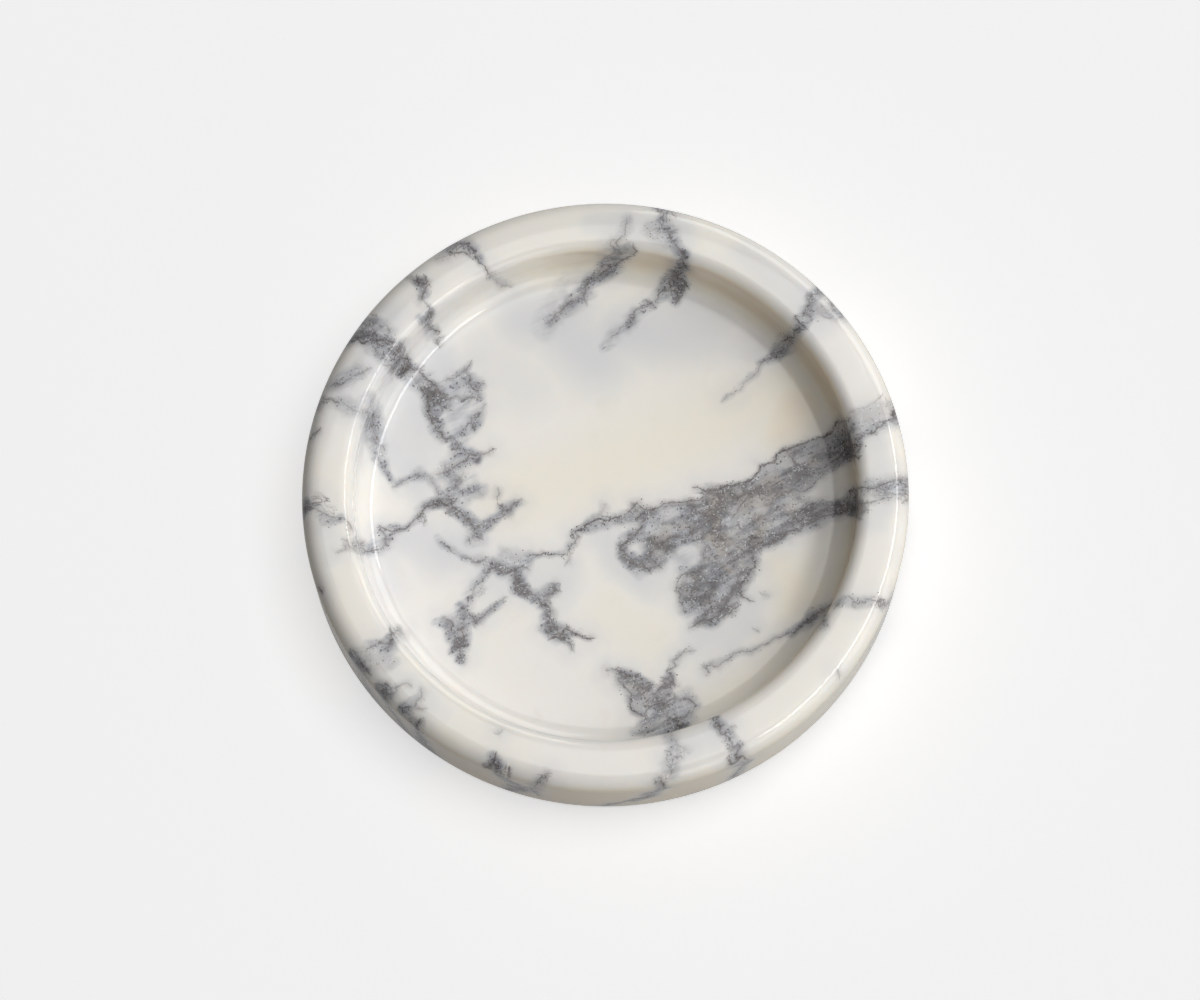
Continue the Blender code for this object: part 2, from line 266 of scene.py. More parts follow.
# A seam is a thin dark line. Its first two numbers are how dark it is and half its width
# in mm, and its points are x and y.
floor_seams = [
    # left cluster
    (0.8, 0.25, [(-50.6, 36.9), (-49.4, 35.8), (-46.8, 35.2), (-45.9, 36.1)]),
    (0.9, 0.30, [(-46, 34.8), (-44.4, 33.4), (-42.6, 32), (-41.6, 31.3), (-41, 29.2)]),
    (0.9, 0.28, [(-45.8, 31), (-44.2, 29.4), (-44.2, 27.6), (-43.9, 26), (-44, 24), (-43.2, 22.2),
                 (-42.2, 20.9), (-41, 19.6), (-40.6, 18.4)]),
    (0.8, 0.22, [(-40.4, 18.4), (-39.4, 17.8), (-38.2, 18.2), (-37.2, 17.6), (-36.4, 16.6),
                 (-36.6, 15.4)]),
    (0.7, 0.22, [(-33.6, 37.4), (-33.9, 36.4), (-34.6, 35.4), (-33.6, 34.2), (-33.7, 32.6),
                 (-32.6, 31.2), (-31.6, 30.4), (-30.9, 28.9)]),
    (0.5, 0.20, [(-30.4, 31.9), (-31, 30.8), (-31.8, 30)]),
    (0.5, 0.22, [(-31.2, 29), (-33.2, 28.3), (-35, 28), (-36.9, 28.5), (-38.6, 28.2)]),
    (0.6, 0.20, [(-39.6, 33.4), (-37.4, 33.8), (-36.2, 34.4), (-34.6, 35.6)]),
    (0.7, 0.22, [(-31.2, 24.3), (-31.8, 23.4), (-33, 23.4), (-33.4, 22.2), (-32.6, 20.9)]),
    (0.5, 0.18, [(-30, 26.2), (-30.6, 25.6)]),
    (0.8, 0.25, [(-28, 14.5), (-29.2, 13.9), (-30.8, 13.5), (-31.8, 12.7), (-33.4, 13.2),
                 (-34.6, 12), (-36, 11.6), (-37, 11), (-38.2, 10.2), (-40, 9)]),
    (0.5, 0.20, [(-40, 11), (-40.4, 9.6), (-42, 8.8)]),
    (0.4, 0.18, [(-35.6, 8.4), (-37, 7), (-37.8, 5.2), (-39.6, 3.6), (-41.6, 4.8)]),
    (0.4, 0.18, [(-33.6, 5.4), (-31.8, 4.6), (-31.2, 3.8)]),
    (0.6, 0.20, [(-52.2, 6), (-51, 6.8), (-49.4, 7.8), (-48, 8), (-46.8, 9), (-46, 8)]),
    (0.5, 0.20, [(-43.8, 7.6), (-42.4, 5.6), (-41.6, 3.2)]),
    (0.9, 0.28, [(-38, 1.6), (-39.8, 1.2), (-41.6, 2.2), (-43.2, 0.9), (-45, 0.4), (-46.2, -1.2),
                 (-47.1, -2.4), (-48.4, -3.2), (-49.8, -4.4), (-51.4, -5.1), (-53, -5.3),
                 (-54.6, -5.6), (-55.8, -5)]),
    (0.6, 0.22, [(-45.2, -2.6), (-45.4, -3.8)]),
    (0.8, 0.22, [(-55.9, -5.8), (-55.2, -7.2), (-55.4, -8.6), (-54.8, -9.4), (-56.2, -9.8),
                 (-57.6, -10.6), (-59.2, -11.4), (-60.4, -11)]),
    (0.5, 0.20, [(-57.9, 24), (-58.1, 21.4), (-57.6, 19), (-57.2, 17.2), (-55.6, 16.4),
                 (-55, 15.2)]),
    (0.5, 0.18, [(-56.6, 13.4), (-55.6, 11.5)]),
    # centre left
    (0.8, 0.25, [(-38.2, 0.8), (-37.2, -0.8), (-36.2, -1.4), (-35.6, -2.6), (-34, -3.3),
                 (-33.4, -4.6), (-32.6, -5.8), (-32.4, -7), (-31.6, -7.6)]),
    (0.7, 0.20, [(-31.6, -4.2), (-30.4, -4), (-29.4, -4.2), (-28.4, -3.3), (-26.8, -2.6),
                 (-25, -2.2), (-24, -1.5)]),
    (0.8, 0.22, [(-26.2, 0.4), (-25, -0.8), (-23.6, -0.4), (-22.8, 0.4), (-21.6, 1.4)]),
    (0.6, 0.25, [(-27.1, 3.8), (-27, 2.8)]),
    (0.6, 0.30, [(-34.2, -7.9), (-34, -8.6)]),
    (0.7, 0.28, [(-40.2, -9.2), (-39.4, -9.8), (-38.6, -10.9)]),
    (0.7, 0.30, [(-35.2, -12.9), (-34.2, -12.8), (-33.2, -13.2), (-32.2, -13.6), (-31.7, -14.3),
                 (-31, -13.4), (-30.4, -13.1)]),
    (0.9, 0.28, [(-29.4, -17), (-28.8, -16.6), (-29.6, -16.3), (-28.6, -15.6), (-27.6, -15.7),
                 (-26.8, -16.6), (-25.4, -16.8), (-24.2, -16.9)]),
    (0.7, 0.22, [(-27, -15.4), (-25.8, -15.3), (-24.2, -16.2), (-22.6, -16.8), (-22, -16),
                 (-21, -15.6), (-19.7, -15.9)]),
    (0.8, 0.26, [(-22.9, -18), (-22, -19.2), (-22.9, -20.4), (-22.6, -21.4), (-21.6, -22),
                 (-20.6, -22.8), (-20, -23.4)]),
    (0.7, 0.22, [(-20.2, -21.4), (-19.2, -22.4), (-18.2, -22.4), (-17.4, -23.2)]),
    (0.8, 0.22, [(-16, -23.2), (-14.8, -22.6), (-13.6, -22.4), (-12.8, -21.5), (-11.8, -21.6)]),
    (0.8, 0.22, [(-13, -21.2), (-14, -20.6), (-13.4, -19.9), (-12.5, -19.7)]),
    (0.9, 0.26, [(-17.2, -24.2), (-16.4, -25.2), (-15.4, -26), (-14.6, -25), (-14.1, -26.6),
                 (-14.8, -27.4), (-14, -28.6), (-13.6, -29.8), (-12.8, -30.6)]),
    (0.9, 0.28, [(-14, -30.8), (-12.8, -31.6), (-12, -32.8), (-10.8, -31.4), (-10.2, -32.2),
                 (-9.4, -32.6), (-8.6, -33.2), (-7.4, -33.1), (-6.2, -33.6), (-4.2, -33.9)]),
    (0.9, 0.26, [(-13.8, -33.8), (-12.8, -33.4), (-11.6, -34.2), (-10.6, -34.6), (-9.8, -35.6),
                 (-9.2, -36.4)]),
    (0.6, 0.22, [(-15.8, -31.4), (-14.6, -30.4), (-13.4, -30)]),
    # lower left
    (0.45, 0.20, [(-30.4, -17.8), (-32, -19), (-33.2, -20.6), (-33.4, -22.2), (-34.4, -24),
                  (-35.4, -25.6), (-36.8, -26.6), (-37.3, -27.8)]),
    (0.4, 0.20, [(-31.2, -21.2), (-31.4, -21.8)]),
    (0.8, 0.24, [(-40.2, -28.2), (-39.2, -29), (-38.4, -29.9), (-39.2, -30.8), (-38.6, -31.8)]),
    (0.7, 0.24, [(-33.8, -27.2), (-32.9, -28.4), (-33, -29.9), (-31.8, -29), (-31.2, -28.2),
                 (-30.2, -27.6), (-29.6, -26.6), (-28.8, -26.2)]),
    (0.6, 0.22, [(-28.4, -24.9), (-27.6, -24.7), (-26.6, -24.2), (-25.4, -23.2)]),
    (0.7, 0.26, [(-38.9, -36.4), (-38, -35.2), (-37.4, -34.8), (-36.8, -36), (-36.6, -37.6),
                 (-37.2, -38.4)]),
    (0.6, 0.24, [(-36.8, -31.2), (-35.8, -31.6), (-35.6, -33.4), (-36.2, -34.6)]),
    # long vein
    (0.9, 0.22, [(-18.6, -12.9), (-17.2, -12.8), (-15.8, -12.2), (-14.4, -12.4), (-12.4, -12.6),
                 (-10.8, -12.7), (-9.2, -11.4), (-8.8, -10.3), (-7.6, -9.2), (-6.8, -8.2),
                 (-7.4, -7.4)]),
    (0.5, 0.20, [(-9.4, -13), (-10, -14.4)]),
    (1, 0.34, [(-8.2, -7.5), (-7, -6.8), (-5.8, -6.2), (-4.8, -5.2), (-3.6, -4.3), (-2.4, -3.5),
               (-1.4, -3.8), (0, -4.1), (1.4, -3.5), (3.4, -2.9)]),
    (0.5, 0.15, [(-1.6, -2.8), (-0.8, -1.6), (-0.2, -0.2)]),
    (0.9, 0.24, [(3.4, -2.9), (5, -2.2), (6.6, -1.4), (7.4, -0.2), (8.4, 0.2), (9, -0.7),
                 (10.4, -1.2), (12.2, -1), (13.4, -0.4), (14.8, 0.3), (16.6, 0.6), (18.6, 0.5),
                 (20.6, 0.2), (22.2, 0.7), (24.2, 1.4)]),
    # top edge of the grey mass
    (0.8, 0.32, [(22.9, 4), (23.2, 3.9)]),
    (1, 0.38, [(24.2, 3.3), (25.6, 3.1), (27.2, 3.3), (28.6, 3.7), (29, 4.5), (30.2, 4.7),
               (31.4, 4.4), (32.6, 4.7), (34, 5.3), (35.4, 5.7), (36.6, 6.6), (37.6, 7.4),
               (38.6, 8), (39, 9), (40.2, 9.8), (41.8, 10.4), (42.8, 11.2), (43.4, 12.4),
               (44.8, 13.3), (46.2, 13.9), (48, 14.4), (49.6, 14.9), (51.6, 15.8), (53.4, 16),
               (55, 16.6), (56.4, 17.5), (57.4, 18.4), (58.2, 19.4)]),
    (0.8, 0.30, [(33.2, 5), (34.6, 4), (36, 4.6)]),
    # dark bands inside the grey mass
    (0.9, 0.30, [(46.6, 11.8), (47.4, 10.6), (48.8, 9.4), (50.4, 8.8), (52.4, 8.4), (54.6, 8.8),
                 (56.6, 9.8), (58.6, 11.4), (60.4, 12.8)]),
    (0.8, 0.28, [(39.6, 3.8), (41.8, 4.2), (43.8, 5), (45.4, 5.8), (47.4, 6.2), (49, 7.2),
                 (50.6, 6.6), (52.8, 7.2), (54.4, 7)]),
    (0.7, 0.26, [(40.4, 0.4), (42.4, 1.4), (44.4, 2.4), (46.4, 3.2), (48.4, 3), (50, 3.2),
                 (51.8, 4.2), (52.6, 5.2)]),
    (0.7, 0.26, [(31.8, -3.6), (32.8, -1.6), (34.4, 0.4), (36.2, 1.8), (38, 2.4), (39.6, 2.2)]),
    (0.6, 0.24, [(32.6, -5.6), (33.8, -7), (35, -5.8), (36.6, -4.8), (38.4, -3.6), (40.2, -3.4),
                 (41.6, -2)]),
    (0.9, 0.30, [(20.6, -7.8), (22, -6.4), (23.6, -6.4), (25, -5.2), (25.8, -4.2), (27.4, -3.4),
                 (27.6, -1.8), (29.2, -1)]),
    (0.7, 0.26, [(20.6, -3), (22.4, -2), (24.4, -2.6), (26.4, -1.2), (28.4, 0.6), (30.2, 1.4)]),
    (1, 0.55, [(36.6, -8.8), (37.3, -8.7)]),
    # lower edge of the lower band
    (0.9, 0.34, [(36.4, -11.4), (37.8, -12.4), (38.6, -11.2), (40.4, -10.6), (42.2, -10.2),
                 (43.2, -9.4), (44.8, -8.8), (45.6, -7.8), (46.8, -7.2), (48.6, -7), (49.2, -5.8),
                 (51, -5.2), (52.4, -4.5), (54, -4.2), (55.8, -3.6), (57.6, -3.2), (59.4, -3),
                 (60.2, -2), (60.6, -0.4), (61.2, 0.8)]),
    (0.9, 0.32, [(45.6, -5), (47, -4.2), (48.4, -5.2), (50, -3.4), (51.4, -3.8), (52.8, -2.6),
                 (55, -2.2), (57.2, -1.2), (59.2, -1), (60.6, -1)]),
    (0.6, 0.26, [(42.4, -7.6), (44.4, -6.6), (45.6, -5.6), (47.2, -6), (48.6, -5.8)]),
    # right edge of the mass below
    (0.9, 0.32, [(38.6, -10), (37.2, -11), (37.4, -12.8), (36.4, -14.2), (36.9, -16.2),
                 (35.8, -17.8), (34.8, -19.2), (33.6, -21.2), (33, -22.8), (33.8, -24.4),
                 (35.6, -25.2)]),
    (0.8, 0.30, [(31.8, -27), (30, -28), (28.6, -29.2), (27, -29.2), (25.6, -29.9), (24.2, -29.9),
                 (22.6, -30.7), (21, -31.4)]),
    (0.7, 0.28, [(32.4, -21), (31.2, -22.6), (30.6, -24.4), (29.4, -26), (28, -27.6),
                 (26.4, -28.4)]),
    (0.7, 0.30, [(33, -11.4), (34.4, -12.4), (35.6, -12), (36.4, -13.2)]),
    (0.6, 0.26, [(30, -20.6), (31, -21.6), (32.4, -19.8), (33.4, -18.4)]),
    (0.6, 0.26, [(20, -18.2), (18.2, -18.6), (17, -20.4), (17.3, -21.8), (18.4, -22.8),
                 (17.8, -24.2), (19, -25.6), (19.4, -27)]),
    (0.5, 0.24, [(24, -9.8), (25.6, -11.2), (24.2, -13.2), (24.4, -15)]),
    (0.5, 0.24, [(27.4, -9.6), (28.4, -11.4), (30.6, -12.6), (32.2, -14.6), (31.2, -16.8)]),
    # hook
    (0.8, 0.30, [(8.4, -6.2), (7.2, -7.8), (6, -8.6), (4.6, -10), (3.2, -11.4), (4.8, -12.4),
                 (4.4, -14), (5.8, -15), (7.2, -15), (8.4, -16.2), (9.4, -15.6), (10.6, -16.9)]),
    (0.8, 0.28, [(13, -15.6), (11.6, -14.6), (10.6, -13), (11.8, -11.4), (13.4, -9.8), (15, -9.6),
                 (16.4, -7.8), (18.2, -8.6)]),
    # bottom body
    (0.7, 0.28, [(0.4, -42.1), (1.6, -42.3), (2.2, -42.1)]),
    (0.9, 0.30, [(3, -42.9), (4, -43), (4.6, -43.9), (5.8, -44), (6.6, -44.4), (7.4, -43.8)]),
    (0.8, 0.28, [(2.8, -45), (3.6, -45.8), (4.4, -46.8), (5.6, -47.6)]),
    (0.9, 0.32, [(6, -48.2), (6.2, -49.6), (5.4, -50.8), (5.8, -52.2), (7, -52.8), (8.2, -54)]),
    (0.9, 0.34, [(8.8, -52.9), (9.6, -52.2), (10.4, -51.2), (11.8, -50.9), (13, -50.2),
                 (14.6, -50.6)]),
    (0.7, 0.26, [(6.8, -46.2), (8.4, -46.8), (10, -45.8), (10.9, -45.9)]),
    (0.7, 0.28, [(9.2, -49.8), (10.4, -48.6), (12.2, -47.8), (13.4, -46.6), (14.4, -46.8)]),
    (0.9, 0.34, [(13.6, -44.6), (14.8, -45.2), (15.8, -45.9), (16.2, -44.6), (15.7, -43.8)]),
    (0.7, 0.26, [(15, -42.6), (15.8, -41.9), (16.6, -41.4), (15.9, -40.4), (16.8, -39.8)]),
    (0.6, 0.20, [(16.8, -39.8), (17.8, -38.8), (18.8, -38.2), (19.8, -37.6), (20.8, -37.3)]),
    (0.7, 0.28, [(13.2, -49.4), (14.6, -49.8), (16.2, -49), (17.6, -49.6), (19.2, -49.4),
                 (20.8, -50.6), (21.4, -51.8)]),
    (0.6, 0.26, [(21.2, -51.8), (20, -53.4), (18.4, -54.4)]),
    (0.6, 0.26, [(12.6, -52.2), (13.8, -52.8), (14.4, -54.4), (16.6, -54.6)]),
    # lower right vein
    (0.6, 0.24, [(24.6, -42.8), (24.8, -42.2), (23.8, -41.4), (25.4, -41.1), (27, -41.2),
                 (28.6, -40.4), (29.8, -39.4), (30.8, -38.4), (32.6, -37.8), (34.4, -38.2),
                 (35.8, -38), (37.4, -37), (39.4, -36), (41, -34.8), (42.4, -34.4), (44.6, -33.9),
                 (46.4, -33.3), (48, -32.2), (49.4, -30.4), (50.8, -29.4), (52.2, -28.5),
                 (54, -28.2), (55.4, -27.2)]),
    (0.5, 0.22, [(48.6, -31.4), (50.4, -31.2), (51.8, -29.9), (53.4, -29)]),
    (0.4, 0.26, [(36.7, -32.5), (37, -32.7)]),
    (0.4, 0.26, [(39, -23.5), (39.3, -23.6)]),
    # upper right vein
    (0.5, 0.20, [(29.9, 26.7), (31.4, 27.8), (33, 29), (34.2, 29.5), (35, 31), (36.2, 31.9),
                 (38, 33), (39.4, 34.6), (39.6, 36), (41.2, 37.4), (43, 37.6), (44.4, 39),
                 (46.2, 39.4), (48, 40.4)]),
    # veins under the rear wall
    (0.6, 0.26, [(-3, 58.4), (-4, 57.2), (-3.8, 55.8), (-4.4, 54.4), (-4.2, 52.8)]),
    (0.5, 0.26, [(-6.2, 54), (-8.2, 53), (-9.4, 51), (-11, 50.2), (-11.9, 49), (-13.6, 48.2)]),
    (0.8, 0.34, [(0.4, 60.2), (1.6, 61), (3.2, 61.2)]),
    (0.8, 0.28, [(21.6, 56.4), (20.8, 57.4), (20, 57.6), (18.8, 58), (17.6, 58.8), (17, 57.6),
                 (17.8, 56.4), (16.2, 55.8), (14.8, 55.3), (13.8, 54.6), (13.6, 53.4)]),
    (0.8, 0.30, [(20.2, 55.8), (19, 56.4), (18.6, 55.2), (19.6, 54.2), (19, 52.8)]),
    (0.8, 0.30, [(12.9, 51.7), (12, 52.3), (11.3, 52.5)]),
    (0.6, 0.22, [(10.2, 51.3), (8.6, 50.7), (8.2, 49.6), (8, 48.6), (7.3, 47.7), (6.4, 46.9),
                 (5.4, 46.2), (4, 45.2), (3, 44.2)]),
    (0.5, 0.26, [(-41, 44.2), (-41.9, 43.2), (-41.3, 42.3)]),
]

# The rim, seen from above.
rim_greys = [
    (0.75, [(-62, 40.6, 1), (-59.4, 40.4, 1.6), (-56.8, 39.9, 1.6), (-54.5, 39.2, 1),
            (-52.6, 38.8, 0.7)]),
    (0.35, [(-59.6, 45, 0.9), (-57.6, 43.6, 1.8), (-55, 42.6, 1.7), (-53.2, 41.4, 1)]),
    (0.50, [(-57.6, 38.2, 1), (-56, 36.6, 1), (-54.8, 35.2, 0.8)]),
    (0.80, [(-46.2, 54.4, 0.7), (-45, 53.8, 1), (-44, 54.6, 0.6)]),
    (0.60, [(-44, 52.8, 0.4), (-44.6, 51.4, 0.7), (-44.9, 50, 0.5)]),
    (0.60, [(-42.6, 47.2, 0.5), (-43.6, 45.8, 0.8), (-44.6, 44.8, 0.6)]),
    (0.45, [(-38.8, 63, 0.6), (-36.2, 64.6, 0.9), (-34.2, 64.2, 0.8), (-32.6, 62.8, 0.5)]),
    (0.25, [(-66.4, 28, 0.8), (-63.4, 29.4, 1), (-60.4, 31.6, 0.9)]),
    (0.20, [(-65, 23, 1.2), (-62.6, 21.6, 1.2), (-60.4, 21.2, 0.8)]),
    (0.60, [(-74.6, -3, 1.3), (-73.2, -3.4, 1), (-72, -2.6, 0.6)]),
    (0.35, [(-69.4, -6.4, 1), (-67.6, -6.4, 0.9), (-65.6, -6.4, 0.4)]),
    (0.30, [(-63.6, -13.4, 0.8), (-62.4, -14.2, 0.6)]),
    (0.45, [(-57.4, -38.6, 0.6), (-55.6, -38.8, 1), (-53.8, -38.6, 0.9), (-52.6, -36.6, 0.6)]),
    (0.25, [(-58.6, -40.6, 1), (-56, -41.2, 1.4), (-53.4, -42.2, 1)]),
    (0.60, [(-62.6, -40.4, 0.8), (-60.6, -42.4, 0.8), (-59.2, -44, 0.8)]),
    (0.60, [(-56.8, -48.6, 0.7), (-55, -48.8, 0.8), (-53.4, -50.6, 0.5)]),
    (0.55, [(-50, -54, 0.7), (-48.6, -55.8, 0.8), (-47, -57.8, 0.6)]),
    (0.60, [(-28.2, -66.4, 0.4), (-28.8, -67.8, 0.9), (-30.8, -68.2, 0.9)]),
    (0.50, [(26.4, -59.4, 0.5), (27.2, -60.8, 0.8), (28.4, -62.4, 0.8), (29.6, -64.4, 0.8),
            (30.8, -66.2, 1), (30, -68.4, 0.8)]),
    (0.25, [(15.4, -64, 1), (15.8, -67, 1.2), (14.6, -70, 1)]),
    (0.45, [(66, -1.6, 1.4), (68.6, -2.4, 1.6), (71, -1.6, 1.4), (73.8, -0.6, 1.2)]),
    (0.30, [(66.4, -1, 2.2), (70, -0.8, 2.2), (74, 0.4, 1.8)]),
    (0.45, [(63, 12.2, 1), (64.8, 13, 0.8), (66.6, 13.4, 0.8)]),
    (0.18, [(63.4, 16.4, 2), (66.8, 17.6, 2.4), (70, 19.4, 2), (73, 20.4, 1.5)]),
    (0.50, [(50, 41.8, 0.9), (51.4, 43.6, 1.1), (52, 46, 1), (52.8, 48.6, 0.9),
            (54.4, 50.4, 0.8)]),
    (0.25, [(54, 44.6, 1.6), (57, 45, 1.6), (59.6, 44.8, 1.2)]),
    (0.25, [(58.2, -29.4, 1.4), (61, -29.6, 1.4), (64, -29.4, 1), (67.4, -29.8, 1)]),
    (0.45, [(16.4, 73.6, 0.8), (16, 71.4, 0.9), (15.6, 69, 0.9), (15.4, 67.4, 0.9)]),
    (0.40, [(17.4, 66.2, 0.7), (17.8, 64.4, 0.8), (18.8, 62.2, 0.8)]),
    (0.20, [(12.6, 66.8, 1.4), (14.6, 65.6, 1.4), (16.2, 64, 1.2)]),
    (0.20, [(7, 69.4, 0.6), (6.6, 67.4, 0.9), (5.6, 65.2, 0.8)]),
]
